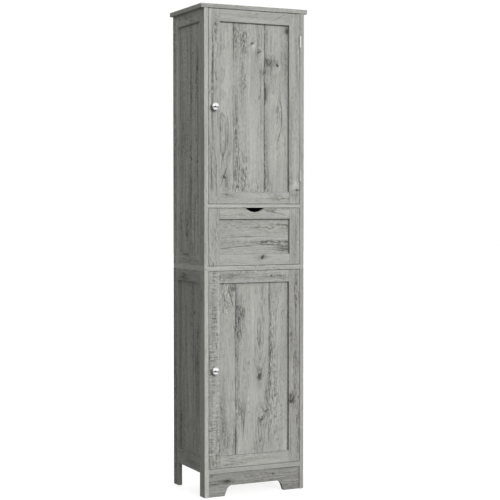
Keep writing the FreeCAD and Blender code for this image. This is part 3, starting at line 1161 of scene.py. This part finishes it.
@dataclass(frozen=True)
class Carcass:
    """Sides, boards, backs, apron and shelves, their pins and the wall bracket."""

    boards: tuple[GreyOak, ...] = CARCASS_BOARDS
    pin_round: float = 0.4
    bracket_inset: float = 9.0
    bracket_screw_forward: float = 3.0
    bracket_foot: float = 2.0
    head: ScrewHead = ScrewHead(3.2, 0.9, 0.1)

    def build(self) -> int:
        """Dress the carcass and add the screws under the wall bracket's foot.

        Returns:
            The number of nodes dressed.
        """
        count = dress_boards(self.boards)
        zinc = ZINC.material()
        dress("wall_bracket", zinc)
        dress("shelf_pins", zinc, self.pin_round)
        low, high = box_mm("wall_bracket")
        y = (low.y + high.y) / 2 - self.bracket_screw_forward
        z = high.z - self.bracket_foot
        places = (low.x + self.bracket_inset, high.x - self.bracket_inset)
        heads = [facing(x, y, z, Way.DOWN) for x in places]
        screws("wall_bracket_screws", heads, "root", zinc, self.head)
        return count + 2


# ---------------------------------------------------------------- doors
@dataclass(frozen=True)
class TurnedKnob:
    """Mushroom knob in polished chrome, with the hexagon screw behind the door.

    Lip is the radius of the round at the knob's rim.  The washer and the screw's head
    are turned profiles that start on the back of the door's frame.
    """

    base: float = 7.0
    neck: float = 4.3
    rim: float = 13.95
    rim_height: float = 15.4
    lip: float = 1.15
    projection: float = 24.0
    frame_thickness: float = 15.0
    sides: int = 72
    washer_sides: int = 36
    lip_steps: int = 6
    dome_steps: int = 14
    washer: Profile = ((2.2, 0.0), (5.0, 0.0), (5.1, 0.15), (5.1, 0.45), (4.9, 0.6), (2.2, 0.6))
    hexagon: Profile = ((0.0, 0.6), (3.9, 0.6), (4.04, 0.8), (4.04, 1.9), (3.6, 2.2), (0.0, 2.2))

    def profile(self) -> Profile:
        """Work out the knob's rings.

        Returns:
            Radius and height of each ring, base first.
        """
        rise = self.projection - self.rim_height
        span = self.rim - self.lip * 0.35
        ball = (span * span + rise * rise) / (2 * rise)
        sweep = math.degrees(math.asin(span / ball))
        dome = arc((0.0, self.projection - ball), ball, 90 - sweep + 3.5, 90, self.dome_steps)
        stem = [(self.base - 0.5, 0.0), (self.base, 0.5), (self.base - 0.15, 1.1)]
        stem += [(self.base - 1.6, 2.0), (self.neck + 0.5, 3.6), (self.neck, 5.4), (self.neck + 0.35, 7.2)]
        flare = [(6.2, 9.3), (8.7, 11.3), (11.2, 12.9), (13.0, 13.9)]
        edge = arc((self.rim - self.lip, self.rim_height), self.lip, -62, 52, self.lip_steps)
        return stem + flare + edge + dome

    def build(self, door: str, chrome: bpy.types.Material, zinc: bpy.types.Material) -> None:
        """Make the knob and its screw in place of the CAD node.

        Args:
            door: The door's body.
            chrome: The knob's material.
            zinc: The screw's material.
        """
        low, high = box_mm(f"{door}_knob")
        x, z = (low.x + high.x) / 2, (low.z + high.z) / 2
        front = low.y + self.projection
        mesh = bmesh.new()
        lathe(mesh, self.profile(), facing(x, front, z, Way.FRONT), self.sides)
        knob = new_piece(f"{door}_turned_knob", mesh, door, chrome)
        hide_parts(f"{door}_knob")
        back = facing(x, front + self.frame_thickness, z, Way.REAR)
        mesh = bmesh.new()
        lathe(mesh, self.washer, back, self.washer_sides)
        lathe(mesh, self.hexagon, back, 6)
        screw = new_piece(f"{door}_knob_screw", mesh, door, zinc)
        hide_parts(f"{door}_knob")


@dataclass(frozen=True)
class Door:
    """A framed door with its knob, hinge leaves and catch plate."""

    body: str
    boards: tuple[GreyOak, ...]
    knob: TurnedKnob = TurnedKnob()
    plate_inset: float = 5.0
    head: ScrewHead = ScrewHead(2.3, 0.12, 0.1)

    def build(self) -> int:
        """Dress the door, turn its knob and add the catch plate's screws.

        Returns:
            The number of nodes dressed.
        """
        count = dress_boards(self.boards)
        chrome, nickel, zinc = CHROME.material(), NICKEL.material(), ZINC.material()
        self.knob.build(self.body, chrome, zinc)
        dress(f"{self.body}_hinge_leaves", nickel)
        dress(f"{self.body}_catch_plate", zinc)
        low, high = box_mm(f"{self.body}_catch_plate")
        places = (low.x + self.plate_inset, high.x - self.plate_inset)
        heads = [facing(x, high.y, (low.z + high.z) / 2, Way.REAR) for x in places]
        screws(f"{self.body}_plate_screws", heads, self.body, zinc, self.head)
        return count + 2


UPPER_DOOR = Door("upper_door", seeded(
    31,
    GreyOak(
        "upper_door_left_stile", tone=0.96, edge=FRAME_EDGE, knots=(Knot(1632, -150, 7, 0.5),),
        shades=(
            Shade(1440, -161, 170, 4, 0.55), Shade(1630, -149, 44, 9, 0.45),
            Shade(1180, -160, 110, 8, 0.36), Shade(1500, -142, 140, 6, -0.12),
        ),
        veins=(
            Vein(1440, -161, 190, 0.5), Vein(1150, -165, 90, 0.45), Vein(1330, -139, 60, 0.3),
            Vein(1120, -148, 70, 0.35),
        ),
    ),
    GreyOak(
        "upper_door_right_stile", tone=0.99, rough=0.4, edge=FRAME_EDGE,
        shades=(
            Shade(1064, 166, 3, 8, 1.5), Shade(1098, 137, 30, 9, 0.6),
            Shade(1081, 157, 13, 11, -0.75, curl=0.8), Shade(1048, 150, 20, 20, 0.35),
            Shade(1300, 148, 220, 3, 0.16), Shade(1550, 160, 120, 4, 0.14),
            # Painted shadows of the hinge barrels on the stile (across 171).
            Shade(1590, 171, 18, 1.8, 0.6), Shade(1114, 171, 20, 1.8, 0.4),
        ),
        veins=(Vein(1400, 168, 220, 0.22), Vein(1250, 141, 140, 0.2)),
    ),
    GreyOak(
        "upper_door_top_rail", Grain.LEVEL_FRONT, 0.93, contrast=0.7, edge=FRAME_EDGE,
        veins=(Vein(90, 1664, 34, 0.3, 0.5),),
    ),
    GreyOak(
        "upper_door_bottom_rail", Grain.LEVEL_FRONT, 0.99, edge=FRAME_EDGE,
        knots=(Knot(-108, 1048, 5, 0.4),),
        shades=(
            Shade(-100, 1046, 34, 8, 0.35), Shade(78, 1046, 24, 10, 0.35),
            Shade(-20, 1040, 40, 8, -0.1),
        ),
    ),
    GreyOak(
        "upper_door_panel", rough=0.6, joints=(-80, 39.5),
        knots=(
            Knot(1572, -8, 6, 1.1, 0.9), Knot(1545, 22, 6, 0.7, 1.2), Knot(1500, 92, 6, 0.85, -0.3),
            Knot(1622, 128, 10, 0.7), Knot(1108, -113, 6, 0.6, -0.5),
        ),
        shades=(
            Shade(1511, 39.5, 20, 46, 0.85, 1, curl=0.3), Shade(1600, 39.5, 60, 4, 0.3, 1),
            Shade(1600, 39.5, 52, 22, 0.42, 1), Shade(1185, 39.5, 150, 4, 0.55, 1),
            Shade(1160, 39.5, 170, 14, 0.42, 1), Shade(1566, 2, 16, 10, -0.5, curl=1.2),
            Shade(1535, 34, 16, 5, -0.35), Shade(1497, 100, 12, 7, -0.35),
            Shade(1474, 39.5, 14, 22, 0.5), Shade(1402, 39.5, 34, 17, 0.95, 1),
            Shade(1385, 74, 26, 20, -0.3), Shade(1505, 122, 70, 14, 0.35),
            Shade(1625, 122, 60, 14, 0.35), Shade(1590, -80, 90, 26, 0.32, 1),
            Shade(1585, -42, 50, 24, 0.2, curl=1.5), Shade(1555, 14, 34, 10, 0.35),
            Shade(1545, -30, 26, 14, 0.12), Shade(1440, -45, 110, 9, 0.35),
            Shade(1330, -68, 150, 8, 0.3), Shade(1150, -66, 90, 9, 0.28, curl=0.9),
            Shade(1290, -106, 60, 17, -0.2), Shade(1105, -88, 70, 24, -0.24),
            Shade(1440, -122, 50, 12, 0.3), Shade(1550, -122, 36, 12, 0.22),
            Shade(1300, 30, 120, 7, 0.3), Shade(1080, -60, 50, 22, 0.25, curl=1.1),
            Shade(1150, -36, 90, 18, 0.05, curl=1.0), Shade(1420, -38, 50, 12, 0.1, curl=1.0),
            Shade(1320, 96, 50, 12, -0.05, curl=1.4), Shade(1065, 0, 30, 60, 0.05, curl=0.8),
            Shade(1330, -10, 150, 26, -0.14), Shade(1250, 80, 170, 26, -0.14),
            Shade(1480, -112, 120, 18, -0.12), Shade(1090, -104, 34, 12, 0.35),
            Shade(1100, 60, 50, 20, 0.16), Shade(1400, -80, 260, 2.2, -0.24),
        ),
        veins=(
            Vein(1303, 107, 90, 0.55, 0.087, -17), Vein(1215, -130, 120, 0.5),
            Vein(1265, -98, 70, 0.45, bow=-6), Vein(1600, 30, 36, 0.4), Vein(1460, 30, 90, 0.3, 0.05),
            Vein(1110, -112, 36, 0.6, 0.4),
        ),
        hearts=(
            Heart(1254, -115, 190, 30, 0.0, 16, 0.7, 1.0, 0.19),
            Heart(1300, -114, 200, 24, -0.08, 9, 0.45), Heart(1500, -118, 120, 22, 0.16, 8, 0.2),
            Heart(1470, 84, 200, 34, -0.12, 8, 0.25),
        ),
    ),
))

LOWER_DOOR = Door("lower_door", seeded(
    41,
    GreyOak(
        "lower_door_left_stile", tone=0.89, sawn=1.5, edge=FRAME_EDGE,
        shades=(
            Shade(600, -158, 160, 12, 0.22), Shade(620, -138.5, 190, 3.5, -0.60),
            Shade(190, -138.5, 90, 3.5, -0.35), Shade(400, -133.5, 400, 2.5, 0.38),
            Shade(240, -146, 60, 5, 0.45), Shade(250, -165, 160, 8, 0.2),
        ),
    ),
    GreyOak(
        "lower_door_right_stile", tone=0.86, edge=FRAME_EDGE, knots=(Knot(318, 146, 8, 0.55, 0.6),),
        shades=(
            Shade(324, 143, 22, 12, 1.05, curl=2.2), Shade(700, 163, 90, 7, 0.4),
            Shade(470, 162, 70, 8, 0.5), Shade(560, 146, 120, 6, 0.25), Shade(640, 150, 90, 6, -0.15),
        ),
        veins=(Vein(640, 158, 120, 0.35), Vein(430, 150, 60, 0.3), Vein(200, 140, 80, 0.3)),
    ),
    GreyOak(
        "lower_door_top_rail", Grain.LEVEL_FRONT, 0.91, sawn=1.0, edge=FRAME_EDGE,
        knots=(Knot(63, 764, 4, 0.4),),
        shades=(
            Shade(-60, 768, 60, 8, 0.25), Shade(-98, 760, 26, 12, 0.32), Shade(60, 764, 40, 10, 0.3),
            Shade(-150, 755, 30, 10, 0.2),
        ),
        veins=(Vein(105, 762, 30, 0.35, -0.25), Vein(108, 752, 26, 0.35, -0.2)),
    ),
    GreyOak(
        "lower_door_bottom_rail", Grain.LEVEL_FRONT, 0.96, contrast=0.8, edge=FRAME_EDGE,
        shades=(Shade(-95, 108, 40, 6, 0.45), Shade(20, 118, 60, 8, 0.12)),
        veins=(Vein(-70, 118, 50, 0.3, -0.15),),
    ),
    GreyOak(
        "lower_door_panel", tone=0.97, rough=0.6, joints=(-71.5, 59),
        knots=(Knot(412, 24, 9, 0.62, 0.5), Knot(258, 31, 6, 0.7, 0.6), Knot(287, 49, 6, 0.6, 0.6)),
        shades=(
            Shade(722, -80, 14, 12, 0.7), Shade(660, -71.5, 56, 20, 0.7, 1, curl=0.4),
            Shade(630, -52, 30, 12, 0.6, curl=0.3), Shade(575, -56, 40, 14, 0.6, curl=0.4),
            Shade(500, -66, 60, 10, 0.4), Shade(400, -62, 90, 10, 0.3),
            Shade(685, -112, 50, 22, -0.06, curl=1.5), Shade(432, 20, 22, 12, 0.2),
            Shade(394, 24, 26, 12, 0.32), Shade(545, 22, 30, 6, 0.45),
            Shade(450, 59, 130, 19, 0.24, 1, curl=1.4), Shade(610, 84, 110, 22, -0.26, curl=0.7),
            Shade(300, 86, 110, 24, -0.08, curl=1.3), Shade(305, -62, 40, 14, 0.1, curl=1.5),
            Shade(335, 50, 50, 9, 0.55, curl=0.5), Shade(270, 38, 36, 14, 0.22, curl=1.1),
            Shade(275, -44, 50, 7, 0.6), Shade(190, -72, 60, 9, 0.7), Shade(340, -78, 60, 12, -0.2),
            Shade(285, -122, 105, 13, 0.38), Shade(190, -106, 60, 17, 0.42),
            Shade(165, 20, 30, 24, 0.25), Shade(600, -10, 150, 30, -0.15), Shade(330, 5, 70, 30, -0.15),
            Shade(210, -25, 70, 26, -0.14), Shade(430, 128, 300, 9, 0.18),
        ),
        veins=(
            Vein(690, -88, 34, 0.6, -0.3), Vein(440, 12, 50, 0.3, -0.35), Vein(440, 36, 50, 0.3, 0.35),
            Vein(250, -38, 70, 0.4, 0.12), Vein(520, 62, 150, 0.2),
        ),
        hearts=(
            Heart(566, 21, 150, 26, 0.0, 12, 0.5, 1.0, 0.2), Heart(390, 26, 130, 34, 0.22, 8, 0.35),
            Heart(222, 27, 140, 26, 0.0, 12, 0.7, 1.0, 0.22), Heart(740, -104, 110, 24, -0.35, 7, 0.45),
        ),
    ),
))


@dataclass(frozen=True)
class Hinges:
    """The cabinet's hinge leaves, the pins and the screws of all the leaves."""

    door_face: float = 176.2
    cabinet_face: float = 176.3
    screw_y: float = -120.5
    screw_spread: float = 12.5
    length: float = 40.0
    head: ScrewHead = ScrewHead(2.5, 0.02, 0.5, crown=0.94)

    def build(self) -> int:
        """Dress the hinges and add their screws.

        Returns:
            The number of nodes dressed.
        """
        nickel = NICKEL.material()
        dress("cabinet_hinge_leaves", nickel)
        dress("hinge_pins", nickel)
        levels = []
        for body in ("upper_door", "lower_door"):
            low, high = box_mm(f"{body}_hinge_leaves")
            middles = (low.z + self.length / 2, high.z - self.length / 2)
            rows = [middle + side * self.screw_spread for middle in middles for side in (-1, 1)]
            self._row(f"{body}_hinge_screws", body, rows, self.door_face, Way.RIGHT, nickel)
            levels += rows
        self._row("cabinet_hinge_screws", "root", levels, self.cabinet_face, Way.LEFT, nickel)
        return 2

    def _row(
        self, name: str, body: str, levels: Sequence[float], x: float, way: Way, finish: bpy.types.Material
    ) -> None:
        """Add one leaf side's screws.

        Args:
            name: The piece's name.
            body: The CAD body they ride on.
            levels: Height of each screw.
            x: Place of the leaf's face.
            way: Where the heads look.
            finish: Their material.
        """
        heads = [facing(x, self.screw_y, z, way) for z in levels]
        screws(name, heads, body, finish, self.head)


# ---------------------------------------------------------------- drawer
DRAWER_BOARDS = seeded(
    51,
    GreyOak(
        "drawer_front_left_stile", tone=1.01, edge=FRAME_EDGE, shades=(Shade(930, -158, 60, 7, 0.2),),
    ),
    GreyOak(
        "drawer_front_right_stile", tone=0.975, edge=FRAME_EDGE, shades=(Shade(900, 160, 60, 6, 0.3),),
    ),
    GreyOak(
        "drawer_front_top_rail", Grain.LEVEL_FRONT, edge=FRAME_EDGE,
        shades=(Shade(-110, 985, 50, 9, -0.12), Shade(60, 992, 30, 5, 0.35)),
        veins=(Vein(80, 984, 40, 0.4, -0.2),),
    ),
    GreyOak(
        "drawer_front_bottom_rail", Grain.LEVEL_FRONT, contrast=0.8, edge=FRAME_EDGE,
        knots=(Knot(29, 829, 8, 0.8, 0.7),),
        shades=(Shade(26, 831, 26, 7, 0.5), Shade(-90, 820, 80, 8, 0.12)),
    ),
    GreyOak(
        "drawer_front_panel", Grain.LEVEL_FRONT, 0.98, contrast=1.1,
        shades=(
            Shade(122, 856, 34, 16, 0.55), Shade(118, 942, 30, 18, 0.32), Shade(0, 884, 150, 5, 0.35),
            Shade(90, 880, 50, 8, 0.35), Shade(-60, 944, 120, 9, 0.12),
        ),
        veins=(Vein(-70, 866, 70, 0.4, 0.06), Vein(60, 872, 70, 0.4, -0.12), Vein(-20, 900, 120, 0.3)),
        hearts=(Heart(-60, 868, 260, 40, 0.05, 8, 0.3),),
    ),
    GreyOak("drawer_left_side", Grain.LEVEL_SIDE),
    GreyOak("drawer_right_side", Grain.LEVEL_SIDE),
    GreyOak("drawer_back", Grain.LEVEL_FRONT),
    GreyOak("drawer_bottom", Grain.LEVEL_FLAT, 0.95, contrast=0.8),
)


@dataclass(frozen=True)
class Drawer:
    """Drawer front, box and roller runners with their screws and rivets."""

    boards: tuple[GreyOak, ...] = DRAWER_BOARDS
    roller_round: float = 0.5
    channel_web: float = 175.8
    angle_web: float = 165.7
    front_axle_end: float = 167.2
    rear_axle_end: float = 173.8
    screw_z: float = 827.0
    channel_screws: tuple[float, ...] = (-66.0, 12.0, 92.0)
    angle_screws: tuple[float, ...] = (-96.0, 4.0, 84.0)
    head: ScrewHead = ScrewHead(3.1, 0.3, 0.4)
    rivet: Profile = ((0.0, 0.5), (2.0, 0.5), (2.9, 0.35), (3.1, 0.1), (3.1, 0.0), (0.0, 0.0))

    def build(self) -> int:
        """Dress the drawer and its runners.

        Returns:
            The number of nodes dressed.
        """
        count = dress_boards(self.boards)
        enamel, nylon, zinc = ENAMEL.material(), NYLON.material(), ZINC.material()
        dress("runner_channels", enamel)
        dress("drawer_runner_angles", enamel)
        dress("front_rollers", nylon, self.roller_round)
        dress("rear_rollers", nylon, self.roller_round)
        for name, body, web, places in (
            ("channel_screws", "root", self.channel_web, self.channel_screws),
            ("angle_screws", "drawer", self.angle_web, self.angle_screws),
        ):
            sides = self._sides(body, web)
            heads = [facing(x, y, self.screw_z, way) for x, way in sides for y in places]
            screws(name, heads, body, zinc, self.head)
        for name, body, axle_end, node in (
            ("front_axle_rivets", "root", self.front_axle_end, "front_rollers"),
            ("rear_axle_rivets", "drawer", self.rear_axle_end, "rear_rollers"),
        ):
            low, high = box_mm(node)
            mesh = bmesh.new()
            for x, way in self._sides(body, axle_end):
                place = facing(x, (low.y + high.y) / 2, (low.z + high.z) / 2, way)
                lathe(mesh, self.rivet, place, FITTING_SIDES)
            new_piece(name, mesh, body, zinc)
        return count + 4

    @staticmethod
    def _sides(body: str, x: float) -> tuple[tuple[float, Way], tuple[float, Way]]:
        """Mirror a runner fitting: the drawer's look outwards, the cabinet's inwards.

        Args:
            body: The CAD body that it is on.
            x: Place of the right one.

        Returns:
            Place and direction of the left one and of the right one.
        """
        left, right = (Way.LEFT, Way.RIGHT) if body == "drawer" else (Way.RIGHT, Way.LEFT)
        return (-x, left), (x, right)


@dataclass(frozen=True)
class Catches:
    """The magnetic catches under the top and middle boards, with their poles and screws.

    The poles stand proud of the catch's face, and their front corners are eased.
    """

    boards_under: tuple[float, float] = (1685.0, 785.0)
    middle: float = -130.0
    face: float = -111.8
    body_y: float = -103.0
    drop: float = 12.0
    round_edges: float = 0.6
    screw_spread: float = 16.5
    pole_drops: tuple[float, float] = (3.2, 8.8)
    pole_half: float = 11.0
    pole_half_thickness: float = 0.6
    pole_proud: float = 0.08
    pole_sunk: float = 1.0
    pole_ease: float = 0.4
    head: ScrewHead = ScrewHead(2.9, 0.7, 0.2)

    def build(self) -> int:
        """Dress the catches and add their pole plates and screws.

        Returns:
            The number of nodes dressed.
        """
        zinc = ZINC.material()
        dress("magnet_catches", CATCH.material(), self.round_edges)
        poles = bmesh.new()
        for under in self.boards_under:
            for drop in self.pole_drops:
                self._pole(poles, under - drop)
        new_piece("catch_pole_plates", poles, "root", zinc)
        heads = [
            facing(self.middle + side * self.screw_spread, self.body_y, under - self.drop, Way.DOWN)
            for under in self.boards_under
            for side in (-1, 1)
        ]
        screws("catch_screws", heads, "root", zinc, self.head)
        return 1

    def _pole(self, mesh: bmesh.types.BMesh, z: float) -> None:
        """Add one steel pole: a thin bar with eased front corners.

        Args:
            mesh: The mesh.
            z: Height of its middle.
        """
        half, ease = self.pole_half, self.pole_ease
        front, back = self.face - self.pole_proud, self.face + self.pole_sunk
        left = [(-half, back), (-half, front + ease), (-half + ease, front)]
        outline = left + [(-x, y) for x, y in reversed(left)]
        levels = (z - self.pole_half_thickness, z + self.pole_half_thickness)
        low, high = ([mesh.verts.new((self.middle + x, y, level)) for x, y in outline] for level in levels)
        mesh.faces.new(low)
        mesh.faces.new(high)
        for step in range(len(outline)):
            mesh.faces.new([low[step - 1], low[step], high[step], high[step - 1]])


# ---------------------------------------------------------------- studio
class LampKind(Enum):
    """The two kinds of lamp in the studio."""

    SUN = "SUN"
    SOFTBOX = "AREA"


@dataclass(frozen=True)
class Lamp:
    """A lamp that looks at the middle of the cabinet.

    Its spread is a sun's angle in degrees or a softbox's side in metres.
    """

    name: str
    kind: LampKind
    place: tuple[float, float, float]
    power: float
    spread: float
    target: tuple[float, float, float] = (0.0, 0.0, 0.9)

    def build(self) -> None:
        """Put the lamp in place.  A sun is too bright to be seen in chrome."""
        light = bpy.data.lights.new(self.name, self.kind.value)
        light.energy = self.power
        if self.kind is LampKind.SUN:
            light.angle = math.radians(self.spread)
        else:
            light.size = self.spread
        holder = bpy.data.objects.new(self.name, light)
        holder.location = self.place
        holder.rotation_mode = "QUATERNION"
        away = Vector(self.place) - Vector(self.target)
        holder.rotation_quaternion = away.to_track_quat("Z", "Y")
        holder.visible_glossy = self.kind is LampKind.SOFTBOX
        bpy.context.scene.collection.objects.link(holder)


@dataclass(frozen=True)
class Studio:
    """Pale floor, soft lights, backdrop and the camera.

    Zenith and nadir are the brightness of the diffuse light from above and below.
    Backdrop is the brightness behind the cabinet, mirrored the colour of what the metal
    mirrors, and ambient that of the diffuse light.
    """

    eye: tuple[float, float, float] = (-2.015, -4.305, 1.021)
    tilt: float = 87.95
    turn: float = -25.54
    lens: float = 95.76
    sensor: float = 36.0
    zenith: float = 0.42
    nadir: float = 0.10
    backdrop: float = 1.02
    mirrored: Colour = (1.0, 0.995, 0.98)
    ambient: Colour = (1.0, 0.998, 0.965)
    white: Colour = (1.0, 1.0, 1.0)
    floor_size: float = 40.0
    floor_squares: int = 8
    floor_light: Colour = (0.35, 0.35, 0.348)
    floor_dark: Colour = (0.33, 0.33, 0.328)
    floor_glow: float = 0.80
    floor_mottle: float = 700.0
    lamps: tuple[Lamp, ...] = (
        Lamp("key", LampKind.SUN, (1.0, -5.0, 2.75), 2.52, 24.0),
        Lamp("rear", LampKind.SUN, (2.6, 4.6, 4.0), 1.1, 40.0),
        Lamp("softbox_front", LampKind.SOFTBOX, (-0.4, -4.2, 3.4), 10.0, 1.6),
        Lamp("softbox_left", LampKind.SOFTBOX, (-2.7, -1.9, 2.7), 5.5, 1.4),
    )

    def build(self) -> None:
        """Set up everything round the cabinet."""
        self._floor()
        self._world()
        for lamp in self.lamps:
            lamp.build()
        self._camera()

    def _floor(self) -> None:
        """Lay a plain pale floor."""
        mesh = bmesh.new()
        count = self.floor_squares
        bmesh.ops.create_grid(mesh, x_segments=count, y_segments=count, size=self.floor_size / 2)
        data = bpy.data.meshes.new("floor")
        mesh.to_mesh(data)
        mesh.free()
        g = Graph.finish("pale_floor")
        x, y, z = g.place()
        size = self.floor_mottle
        cloud = g.noise(x / size, y / size, z / size, 2.0)
        colour = Tint(g, self.floor_light).toward(self.floor_dark, cloud.smooth(0.4, 0.7))
        fixed = {"Emission Color": self.white, "Emission Strength": self.floor_glow}
        data.materials.append(g.surface(colour, 0.6 + cloud * 0.1, fixed=fixed))
        floor = bpy.data.objects.new("floor", data)
        floor.visible_diffuse = floor.visible_glossy = False
        bpy.context.scene.collection.objects.link(floor)

    def _world(self) -> None:
        """Even studio light with a pale backdrop, and what the metal mirrors.

        That is a dim wall that is brighter above the horizon and low down, with a dark
        card at the left front.
        """
        world = bpy.data.worlds.new("studio")
        bpy.context.scene.world = world
        g = Graph(world)
        x, y, height = g.split(g.add("ShaderNodeTexCoord").outputs["Generated"])
        rays = g.add("ShaderNodeLightPath").outputs
        soft = height.smooth(-1.0, 1.0) * (self.zenith - self.nadir) + self.nadir
        wall = height.smooth(-0.09, 0.10) * 0.62 + height.smooth(-0.52, -0.80) * 0.60 + 0.33
        card = x.about(-0.50, 0.32).bell(y.about(-0.88, 0.6), height.about(-0.12, 0.24)) * 1.7
        shiny = wall * (1.0 - card.low(0.94))
        glossy, diffuse, seen = (
            g.add("ShaderNodeBackground", None, {0: colour, 1: strength}).outputs[0]
            for colour, strength in (
                (self.mirrored, shiny), (self.ambient, soft), (self.white, self.backdrop),
            )
        )
        inputs = {0: rays["Is Glossy Ray"], 1: diffuse, 2: glossy}
        lit = g.add("ShaderNodeMixShader", None, inputs).outputs[0]
        inputs = {0: rays["Is Camera Ray"], 1: lit, 2: seen}
        g.add("ShaderNodeOutputWorld", None, {0: g.add("ShaderNodeMixShader", None, inputs).outputs[0]})

    def _camera(self) -> None:
        """Put a camera at the photograph's place and angle."""
        data = bpy.data.cameras.new("camera")
        data.lens, data.sensor_width = self.lens, self.sensor
        camera = bpy.data.objects.new("camera", data)
        camera.location = self.eye
        camera.rotation_euler = Euler((math.radians(self.tilt), 0.0, math.radians(self.turn)))
        bpy.context.scene.collection.objects.link(camera)
        bpy.context.scene.camera = camera


def main() -> None:
    """Build the looks in order and report each part."""
    logging.basicConfig(level=logging.INFO, format="%(message)s")
    Studio().build()
    LOG.info("studio: floor, lights and camera")
    parts: tuple[tuple[str, Callable[[], int]], ...] = (
        ("carcass", Carcass().build),
        ("upper door", UPPER_DOOR.build),
        ("lower door", LOWER_DOOR.build),
        ("hinges", Hinges().build),
        ("catches", Catches().build),
        ("drawer", Drawer().build),
    )
    for name, build in parts:
        LOG.info("%s: %d nodes dressed", name, build())
    bpy.context.scene.view_settings.view_transform = "Standard"


if __name__ == "__main__":
    main()
